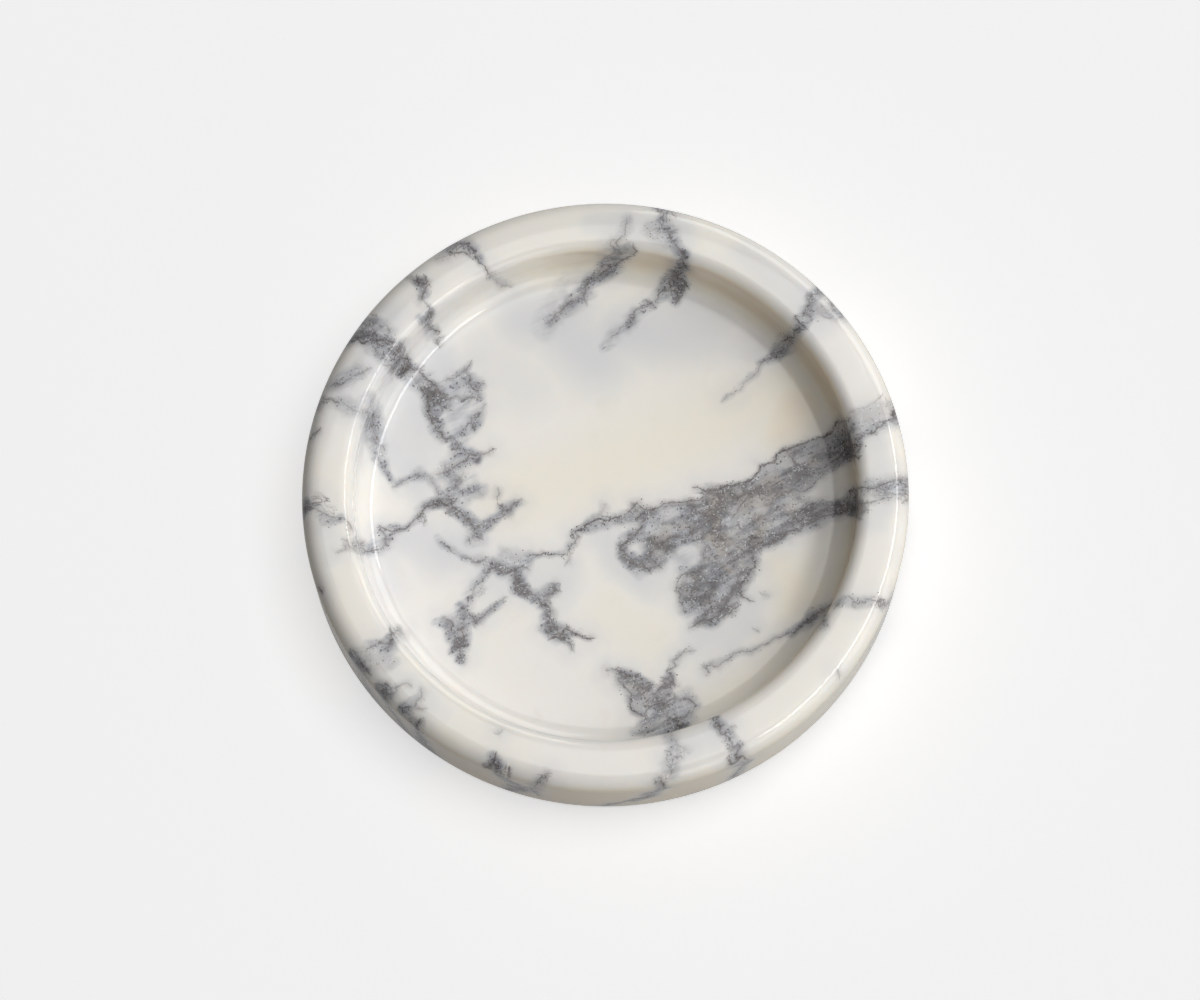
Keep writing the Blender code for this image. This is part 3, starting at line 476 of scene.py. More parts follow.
rim_seams = [
    (0.9, 0.32, [(-61.4, 40.4), (-60.4, 39.4), (-59.4, 38.6), (-58, 39.4), (-56.4, 39.2),
                 (-54.8, 39.4), (-53.4, 38.9), (-52.4, 38.8)]),
    (0.5, 0.28, [(-60.2, 41.8), (-58.4, 41.4), (-56.6, 41.6)]),
    (0.6, 0.24, [(-57.4, 38.2), (-56.6, 36.6), (-55.4, 35.4), (-54.6, 34.8)]),
    (0.5, 0.30, [(-56.9, 46.5), (-56.5, 46.2)]),
    (0.5, 0.24, [(-52.9, 42.2), (-52.6, 41.4)]),
    (0.5, 0.28, [(-47.6, 55.4), (-47.1, 55.2)]),
    (0.9, 0.28, [(-46.2, 55.4), (-45.8, 54.2), (-45, 53.8), (-44, 53.4), (-43.2, 54.2),
                 (-43.9, 55.5)]),
    (0.7, 0.28, [(-43.8, 52.6), (-44, 51.6), (-45, 50.6), (-44.6, 49.7)]),
    (0.6, 0.26, [(-43.4, 47.8), (-43, 47.4)]),
    (0.6, 0.30, [(-38.6, 63.2), (-36.6, 64.8), (-35, 64.3), (-33.4, 64), (-32.4, 62.8),
                 (-31.6, 61.8)]),
    (0.9, 0.28, [(-37.6, 61.9), (-36.2, 61.6), (-34.6, 61.5), (-33.4, 61), (-32.2, 60.3),
                 (-31, 60.3), (-30.4, 59.4), (-29.2, 58.4), (-28.5, 57.4), (-28, 56)]),
    (0.6, 0.30, [(-31.3, 60.8), (-30.9, 60.3)]),
    (0.3, 0.20, [(-38.2, 60.8), (-40.6, 60.4)]),
    (0.5, 0.24, [(-66.4, 27.8), (-64.6, 28), (-63.4, 29), (-62, 30.2), (-60.2, 31), (-58.2, 32)]),
    (0.7, 0.30, [(-69.2, 24.8), (-68.6, 24.4), (-67.4, 24.4), (-66, 23.4)]),
    (0.4, 0.28, [(-62.8, 21.8), (-61.8, 21.2)]),
    (0.6, 0.24, [(-59.8, 21.2), (-58.6, 21.8)]),
    (0.7, 0.40, [(-72.6, 15), (-71.6, 15.9), (-70.6, 16.6)]),
    (0.9, 0.50, [(-75, -3), (-73.6, -3.4), (-72.2, -3.9)]),
    (0.6, 0.22, [(-72.2, -3.9), (-70.2, -4.7), (-68.8, -5), (-67.6, -5.5), (-66.2, -6),
                 (-64.6, -6), (-63.4, -7.4), (-62.6, -9)]),
    (0.8, 0.36, [(-69.6, -1.4), (-69.2, -1.4)]),
    (0.8, 0.34, [(-71.2, -2.6), (-70.8, -2.6)]),
    (0.4, 0.28, [(-71.6, -0.5), (-70.2, -0.4)]),
    (0.3, 0.20, [(-69, -3.4), (-67.2, -3.6)]),
    (0.6, 0.30, [(-68.4, -5.3), (-67.4, -5.6)]),
    (0.4, 0.26, [(-64.2, -11.6), (-63.2, -12), (-62.6, -13.6), (-61.6, -14.4)]),
    (0.4, 0.24, [(-65.4, -14.5), (-64.6, -14.4)]),
    (0.7, 0.34, [(-70.8, -23.4), (-70.2, -24.4)]),
    (0.6, 0.30, [(-57.6, -38.8), (-56.6, -38.4), (-55.2, -37.8), (-53.8, -38.6), (-52.8, -38),
                 (-52.4, -36.4), (-52.8, -34.6)]),
    (0.6, 0.34, [(-61.8, -40), (-60.8, -41.2), (-60.6, -42.6), (-59.2, -43.6), (-58.6, -44.6)]),
    (0.7, 0.34, [(-56.2, -47.6), (-55, -48), (-53.9, -48.2)]),
    (0.5, 0.28, [(-54.8, -49.6), (-53.6, -50.6), (-52.4, -50)]),
    (0.4, 0.28, [(-52.2, -48.8), (-51.4, -48.6), (-50, -47.9), (-49.2, -48.6)]),
    (0.8, 0.40, [(-49.8, -53.7), (-49.2, -53.6)]),
    (0.5, 0.30, [(-49, -54), (-47, -53), (-46.6, -52.2), (-45.8, -51.8), (-46, -50.4)]),
    (0.4, 0.28, [(-45.6, -54.4), (-47.2, -54.2)]),
    (0.4, 0.30, [(-27.1, -60.6), (-26.9, -60.5)]),
    (0.9, 0.30, [(-27.8, -66.2), (-28.2, -67.2), (-29.2, -67.8), (-30.6, -68.4)]),
    (0.6, 0.24, [(-28, -67.8), (-26.6, -68.8)]),
    (0.5, 0.30, [(-15.7, -70.6), (-15.3, -70.6)]),
    (0.4, 0.26, [(-16.9, -71.4), (-16.3, -71.6)]),
    (0.4, 0.20, [(15.1, -57.8), (15.2, -60), (14.8, -62.4), (16, -63.4), (17, -64.4),
                 (18.4, -65.5)]),
    (0.5, 0.26, [(14, -65.8), (14.4, -66)]),
    (0.5, 0.30, [(16, -67.2), (16.4, -67.2)]),
    (0.5, 0.26, [(13.8, -68), (14.6, -69.4), (14.9, -70), (14.6, -70.9)]),
    (0.6, 0.22, [(25.2, -55), (25.5, -55.8)]),
    (0.8, 0.26, [(24.9, -57.4), (25.4, -58.2), (26.6, -59), (27.4, -59.6), (26.6, -60.6),
                 (26.9, -61.4), (28.2, -62.2), (29.2, -63), (29.6, -64.2)]),
    (0.7, 0.30, [(28.8, -65.4), (29.8, -65), (31.2, -64.6), (31.4, -65.6), (30.4, -66.6),
                 (30.8, -67.8)]),
    (0.5, 0.26, [(29.4, -60.6), (29.8, -60.4)]),
    (0.6, 0.26, [(25.9, -60), (26.2, -60.1)]),
    (0.8, 0.30, [(62.6, 11.4), (63.4, 12.4), (64.4, 13.2), (65.4, 12.8), (66.8, 13.6),
                 (67.4, 14.4), (68.6, 15), (69.6, 16.4), (71, 17), (72.6, 17.4)]),
    (0.4, 0.26, [(66.6, 15), (67, 16.2), (66.4, 16.8)]),
    (0.4, 0.24, [(61.8, 18.4), (63.4, 19.2), (65, 19.6), (66.6, 20.8), (68.2, 21.6),
                 (68.4, 22.2)]),
    (0.7, 0.28, [(64, -0.6), (65.6, -0.8), (67.6, -0.4), (69.2, 0.2), (70.6, 0.8), (72.2, 0.9),
                 (74.4, 1.2)]),
    (0.6, 0.28, [(64.2, -4.6), (65.8, -4.4), (67.6, -3.8), (69.4, -3.4), (70, -3.8)]),
    (0.5, 0.26, [(68.6, -2), (70.4, -2.2), (71.6, -3), (73.2, -2.6)]),
    (0.9, 0.26, [(48.2, 43.4), (48.9, 42.2), (50, 41.2), (50.8, 40.2)]),
    (0.6, 0.26, [(51.8, 42.8), (51.4, 44.4), (50.2, 44.2), (51.8, 46.6), (52.4, 48.2),
                 (53.6, 49.2), (54.4, 50.2), (54, 51.6)]),
    (0.5, 0.24, [(54.4, 50.2), (55.6, 49.6)]),
    (0.4, 0.24, [(57.2, 45.4), (58.8, 45.6)]),
    (0.5, 0.28, [(59.4, 43.8), (59, 43.6)]),
    (0.4, 0.24, [(55.6, 43.2), (56.8, 43.3)]),
    (0.7, 0.28, [(56.2, -30.6), (56.6, -30)]),
    (0.6, 0.26, [(59.8, -28.4), (60.4, -29.2), (61.6, -29.5), (62.2, -29.5)]),
    (0.4, 0.26, [(60.2, -30.6), (60.8, -30.8)]),
    (0.5, 0.26, [(63.2, -28.6), (64.4, -28.8)]),
    (0.7, 0.34, [(66.4, -29.4), (67.6, -29.2)]),
    (0.4, 0.28, [(55.7, -47), (55.9, -47.4)]),
    (0.7, 0.30, [(16.4, 74.4), (15.8, 72.2), (16, 71)]),
    (0.6, 0.24, [(17.8, 71.6), (18.2, 70.8)]),
    (0.6, 0.30, [(15.2, 69.6), (15.6, 68.2), (16, 67.8), (14.2, 67.2)]),
    (0.6, 0.26, [(16.6, 66), (17.6, 65.8), (18.4, 66.1), (17.2, 64.8), (17.8, 63.4), (18.6, 62.4),
                 (19.8, 61), (20.8, 59.8)]),
    (0.5, 0.26, [(6.7, 68.4), (6.6, 67.2), (5.6, 65.1), (5, 64.4), (4, 64.2), (3.9, 63.2)]),
]

# The inner wall, unrolled: degrees round from the right, height in mm over the stone's
# underside, half width in mm.
wall_greys = [
    (0.55, [(-33.5, 27, 1.6), (-31.5, 21, 1.8), (-29.5, 15, 1.8), (-27, 9, 1.8)]),
    (0.60, [(-6, 27, 2.2), (-3.5, 21, 2.4), (-1.5, 15, 3), (0.5, 9, 3.4)]),
    (0.90, [(9, 27, 2), (10.5, 21, 2.4), (12.5, 15, 3), (14.5, 9, 4.2)]),
    (0.45, [(13, 27, 2), (15, 19, 2.2), (17, 11, 2.4)]),
    (0.60, [(39.6, 28, 0.7), (40.2, 22, 0.7), (41.4, 16, 0.8), (43, 10, 1)]),
    (0.70, [(70.6, 26, 0.8), (70.8, 20, 0.9), (71.6, 15, 1), (72.4, 10, 1.6)]),
    (0.60, [(84, 26, 1.4), (84.6, 22, 2), (86.4, 17, 2.4), (88.6, 12, 2.2), (90.4, 9, 1.8)]),
    (0.25, [(116.4, 27, 0.6), (115, 20, 0.8), (113.4, 14, 1)]),
    (0.60, [(132.6, 28, 1.2), (133.4, 24, 1.2), (133.8, 18, 0.7), (132.6, 12, 0.6)]),
    (0.65, [(142.4, 28, 1.4), (143.6, 22, 1.8), (143.6, 15, 1.6), (143.2, 10, 1.8)]),
    (0.45, [(147.6, 27, 1.2), (147, 21, 1.4), (146, 15, 1.4)]),
    (0.45, [(160.6, 27, 0.8), (159.8, 21, 1), (159, 15, 1.2), (158.2, 11, 1.4)]),
    (0.45, [(-166.6, 28, 1.6), (-168.6, 22, 1.4), (-170.2, 16, 1.3), (-171.6, 10, 1.2)]),
    (0.40, [(-145.2, 27, 0.9), (-147, 21, 1.1), (-148.2, 15, 1), (-149, 10, 0.8)]),
]
wall_seams = [
    (0.6, 0.30, [(-33.4, 26), (-32.2, 22), (-30, 18), (-29.2, 13), (-27.4, 9.4)]),
    (0.8, 0.34, [(-1.2, 27), (0.4, 21), (1.2, 15), (3, 10)]),
    (0.5, 0.30, [(-8.4, 27), (-6, 20), (-4.4, 14), (-3.4, 10)]),
    (1, 0.50, [(8.6, 27), (10.4, 21), (11.6, 16), (13.4, 10)]),
    (0.8, 0.34, [(6.6, 26), (8.6, 20), (9.6, 14), (10.6, 10)]),
    (0.6, 0.30, [(15.4, 25), (17.4, 17), (18.6, 10)]),
    (0.9, 0.34, [(39.4, 28), (40.4, 24), (39.7, 20), (41.2, 16), (42, 12.4), (43.6, 9)]),
    (0.9, 0.32, [(70.2, 28), (71, 24.6), (70.3, 21), (71.6, 18), (71, 15), (72.4, 11.6),
                 (73.4, 9.4)]),
    (0.9, 0.36, [(83.2, 26), (82.2, 23.8), (82.9, 20.4), (84.6, 17.6), (85.4, 15), (87, 12),
                 (88.6, 9.4)]),
    (0.5, 0.28, [(88, 25.6), (87, 22), (89.2, 17.4), (90, 13)]),
    (0.4, 0.24, [(116.8, 26.2), (115.8, 22), (115, 17), (113.6, 13.4), (112, 12)]),
    (0.8, 0.34, [(131.4, 26.8), (132.6, 25), (134.4, 22.8), (134, 19), (133.4, 15), (132, 11.4)]),
    (0.5, 0.26, [(134.8, 27.4), (136, 24.4)]),
    (0.8, 0.34, [(142, 28), (144, 24.6), (142.2, 21), (143.6, 17.6), (142.8, 13.4), (143.4, 10)]),
    (0.5, 0.28, [(149, 27), (147.4, 23), (147, 17.6)]),
    (0.5, 0.24, [(161, 27.4), (160, 22), (159.6, 17), (160.2, 12)]),
    (0.5, 0.26, [(-167, 28), (-169.4, 22), (-170, 17), (-172, 10)]),
    (0.5, 0.26, [(-144.8, 27), (-146.8, 22.6), (-147.4, 18), (-149.2, 11)]),
    (0.35, 0.20, [(-76.4, 21), (-75.8, 16), (-75.4, 10)]),
    (0.45, 0.22, [(-67, 24), (-66, 18), (-65, 12), (-64.4, 9)]),
]

# The outer side, unrolled in the same way. The rear half continues what the rim shows.
side_greys = [
    (0.60, [(181.6, 27, 1.4), (183.4, 20, 1.4), (185, 12, 1.2), (187, 3, 1.2)]),
    # This broad faint grey, and the smoke drawn along it, is painted shade on the side that faces
    # away from the light.
    (0.30, [(213, 27, 1.6), (216, 18, 2.2), (218, 8, 2.6), (220, 1, 2.4)]),
    (0.65, [(221, 26, 0.9), (223.4, 20, 0.9), (226, 13, 1.2), (227.6, 5, 1)]),
    (0.60, [(231, 27, 0.9), (231.5, 19, 1), (232, 11, 1.8), (233, 3, 2.2)]),
    (0.55, [(247.6, 27, 1.4), (248.6, 21, 1.2), (250.2, 16, 0.9)]),
    (0.60, [(252.4, 15, 1.6), (252.6, 11, 2), (251.4, 7, 1.2), (250.2, 4, 0.8)]),
    (0.35, [(257.6, 25, 0.8), (255.8, 20, 1), (255, 12, 1.2)]),
    (0.40, [(270.6, 7, 1.2), (268.8, 4, 1)]),
    (0.60, [(278.6, 26, 0.8), (279.4, 20, 1)]),
    (0.55, [(277.6, 18, 1.2), (276.6, 13, 1.8), (274.4, 10, 1.2)]),
    (0.45, [(293.4, 26, 0.9), (294.6, 21, 1.2), (296.2, 16, 1.2), (295, 10, 1.2),
            (294.2, 5, 1.2)]),
    (0.40, [(334.8, 26, 0.8), (337.6, 21, 1), (339, 17, 0.7), (343.6, 14, 1)]),
    (0.35, [(340.6, 8, 0.8), (338.4, 4.6, 1.4), (336, 1, 1.2)]),
    (0.45, [(358.4, 27, 1.6), (360.4, 21, 1.8), (364.6, 15, 1.2), (368.4, 11, 1.6), (371, 7, 2.2),
            (376.4, 1, 2)]),
    (0.70, [(373, 26, 1), (376.4, 21, 1.6), (380, 15.6, 2), (384.6, 11, 1.2), (386, 6, 1),
            (390.4, 1, 1.6)]),
    (0.40, [(375.6, 19, 0.8), (371.8, 16, 1), (369.6, 12.6, 0.8)]),
    (0.50, [(37.6, 26, 1.2), (41, 20.6, 1), (46.4, 17, 1.4), (50, 12, 0.8)]),
    (0.55, [(43, 10.6, 1), (46.6, 6, 1.8), (52, 1, 1.8)]),
    (0.35, [(60, 14, 0.6), (64.6, 10.6, 1.2), (67, 6, 0.7)]),
    (0.55, [(77.6, 26, 1), (79.6, 20.6, 1.6), (84.4, 16.4, 1.2), (87.6, 9.6, 2), (92.6, 6, 1.2),
            (95, 1, 1.4)]),
    (0.45, [(84, 15, 0.8), (80.6, 10, 1.4), (79.4, 5.4, 0.8)]),
    (0.45, [(118.8, 26, 1), (122.6, 20, 1.2), (124.6, 15, 0.7), (129, 12, 1.2), (132.4, 6, 0.8)]),
    (0.70, [(146, 26, 1.6), (148.6, 20.6, 2.2), (153, 15.4, 1.4), (155.4, 10, 2.2),
            (160.4, 5, 2.6), (163.6, 1, 1.8)]),
    (0.50, [(152.4, 14, 1), (147.6, 10, 1.4), (144.4, 3.6, 1), (143.4, 1, 1.4)]),
    (0.40, [(160.6, 26, 0.8), (163.4, 20, 1.2), (169, 17, 0.8), (172, 12, 1.2)]),
]
side_seams = [
    (0.9, 0.34, [(182.2, 27), (183, 22), (184.8, 15), (185.4, 9), (187.4, 2)]),
    (0.6, 0.30, [(221, 26), (222.8, 22), (224.8, 16.6), (226.2, 11), (228, 4)]),
    (0.7, 0.34, [(230.8, 27), (231.8, 20), (231.2, 14), (232.8, 9), (233.4, 3)]),
    (0.6, 0.30, [(246.6, 27), (248, 23), (248.6, 19.6)]),
    (0.8, 0.34, [(250.2, 27), (250.8, 23.6), (250.4, 19), (252.2, 15), (253.2, 11.4), (251.6, 7.4),
                 (250, 4.2)]),
    (0.6, 0.30, [(258.4, 26), (256.6, 24.6), (255.8, 20), (255, 14), (256.4, 8)]),
    (0.6, 0.34, [(271.6, 8.2), (269.6, 5.6), (268.4, 3.6)]),
    (0.8, 0.34, [(278.8, 27), (279.6, 24), (280.2, 19.4), (278.2, 17.6), (277, 14), (276, 12),
                 (274, 11), (272.2, 8.4)]),
    (0.7, 0.34, [(292.4, 26.6), (293.4, 22.4), (295.6, 24), (296.8, 19), (296, 14.8), (295, 11),
                 (294, 7.4), (294.6, 4.4)]),
    (0.5, 0.28, [(334.6, 26), (337, 22.4), (338.6, 17.6), (343, 15), (344.6, 11)]),
    (0.5, 0.28, [(341, 9.4), (338.6, 6), (337.8, 3.4), (335, 1)]),
    (0.6, 0.30, [(359.4, 26), (360, 21.6), (364, 17), (365.4, 13.6), (369.6, 10.6), (370.6, 6.6),
                 (376, 2)]),
    (0.5, 0.28, [(356.4, 25), (358.8, 20.4), (358, 15), (361.6, 9.4)]),
    (0.9, 0.34, [(373.4, 27), (375, 22.4), (379, 19), (380.4, 13.6), (385, 11.4), (386.4, 5.6),
                 (391, 1)]),
    (0.6, 0.28, [(376.4, 19.6), (372.4, 17), (370.8, 13), (368, 12)]),
    (0.6, 0.28, [(37, 26), (40.4, 22.6), (41.4, 19), (46, 17.6), (48.6, 13), (52.4, 11.6)]),
    (0.6, 0.28, [(43.4, 12), (45, 8), (48.6, 5.6), (50, 1.6)]),
    (0.5, 0.26, [(58.6, 15), (62, 11.4), (66.4, 10), (67.6, 4)]),
    (0.7, 0.30, [(77.4, 27), (79.6, 22.4), (80.2, 18.4), (84.8, 15.6), (86, 11), (89.6, 8),
                 (93.4, 6.4), (95.6, 1)]),
    (0.5, 0.28, [(84.4, 15), (80.8, 12), (81, 8), (78.4, 4)]),
    (0.6, 0.28, [(118.4, 26), (121, 22), (123, 18.6), (124, 14.6), (129.4, 12.4), (131, 8),
                 (134, 4.6)]),
    (0.5, 0.26, [(129.8, 26), (131.6, 21.6), (136, 19), (137.4, 15)]),
    (0.9, 0.36, [(145.6, 27), (149, 22), (149.4, 18), (154, 14), (155, 9), (160.8, 6), (163, 1)]),
    (0.7, 0.30, [(152.8, 14.6), (148.4, 11.6), (147, 8), (144, 5), (143, 1)]),
    (0.5, 0.28, [(143.4, 24), (141.6, 19), (137.8, 16.4), (137, 12)]),
    (0.5, 0.28, [(160.4, 26), (163, 21), (167.4, 18.6), (169.4, 15.6), (172.8, 11)]),
    (0.4, 0.26, [(168, 25), (170.4, 21), (175, 18)]),
]

# Soft clouds in the white of the stone, which have no edge: how strong, then x, y and half
# width in mm. Above 0 is a cool blue grey, below 0 a warm cream.
clouds = [
    (0.70, [(-52, 32, 8), (-50, 25, 8), (-48, 16, 7)]),
    (0.70, [(-58, 22, 6), (-50, 12, 5), (-47, 6, 4)]),
    (0.75, [(-42, 38, 6), (-38, 31, 5), (-36, 22, 4)]),
    (0.75, [(-50, -8, 5), (-42, -11, 7), (-34, -10, 4.5)]),
    (0.55, [(-56, -6, 4), (-55, -20, 6)]),
    (0.50, [(-30, -18, 5), (-20, -20, 5), (-12, -19, 6)]),
    (0.85, [(-20, 49, 8), (-12, 47, 8), (-2, 38, 9)]),
    (0.35, [(-30, 42, 7), (-20, 31, 8)]),
    (0.80, [(4, 44, 7), (16, 44, 8), (25, 46, 9)]),
    (0.50, [(30, 42, 6), (38, 40, 5)]),
    (0.60, [(0, -9, 4), (4, -15, 5), (10, -20, 5)]),
    (0.60, [(24, -34, 5), (31, -34, 5), (38, -26, 5), (45, -11, 4)]),
    (0.50, [(14, -17, 3.5), (17, -14, 3.5), (21, -12.5, 3)]),
    (0.45, [(26, -46, 4), (40, -37, 4)]),
    (0.60, [(-64, 26, 3.5), (-58, 34, 4), (-52, 46, 4)]),
    (0.50, [(-68, -9, 3), (-67, -16, 3)]),
    (0.50, [(-55, -44, 4), (-48, -50, 4), (-40, -56, 3)]),
    (0.50, [(16, -66, 4), (23, -63, 4), (28, -60, 3)]),
    (0.50, [(54, 42, 4), (46, 52, 5), (36, 60, 4)]),
    (0.50, [(20, 66, 4), (10, 67, 4), (-2, 69, 3)]),
    (0.45, [(66, 18, 3), (69, -4, 3), (66, -10, 3)]),
    (-0.80, [(-25, 2, 9), (0, 10, 10), (24, 18, 9), (46, 30, 7)]),
    # This cloud and the next darken and warm the floor near the right wall; the next one is painted
    # shade, where the wall keeps the light off the floor.
    (-1.15, [(43, -16, 6), (47, -25, 8)]),
    (-1.60, [(46, 18, 7), (48, 25, 6)]),
    (-0.70, [(20, -53, 5), (30, -47, 5), (42, -36, 4)]),
    (-0.30, [(-66, 5, 5), (-62, -32, 5), (-45, -55, 5), (-22, -66, 5)]),
    (-0.50, [(0, -28, 6), (10, -34, 5)]),
]

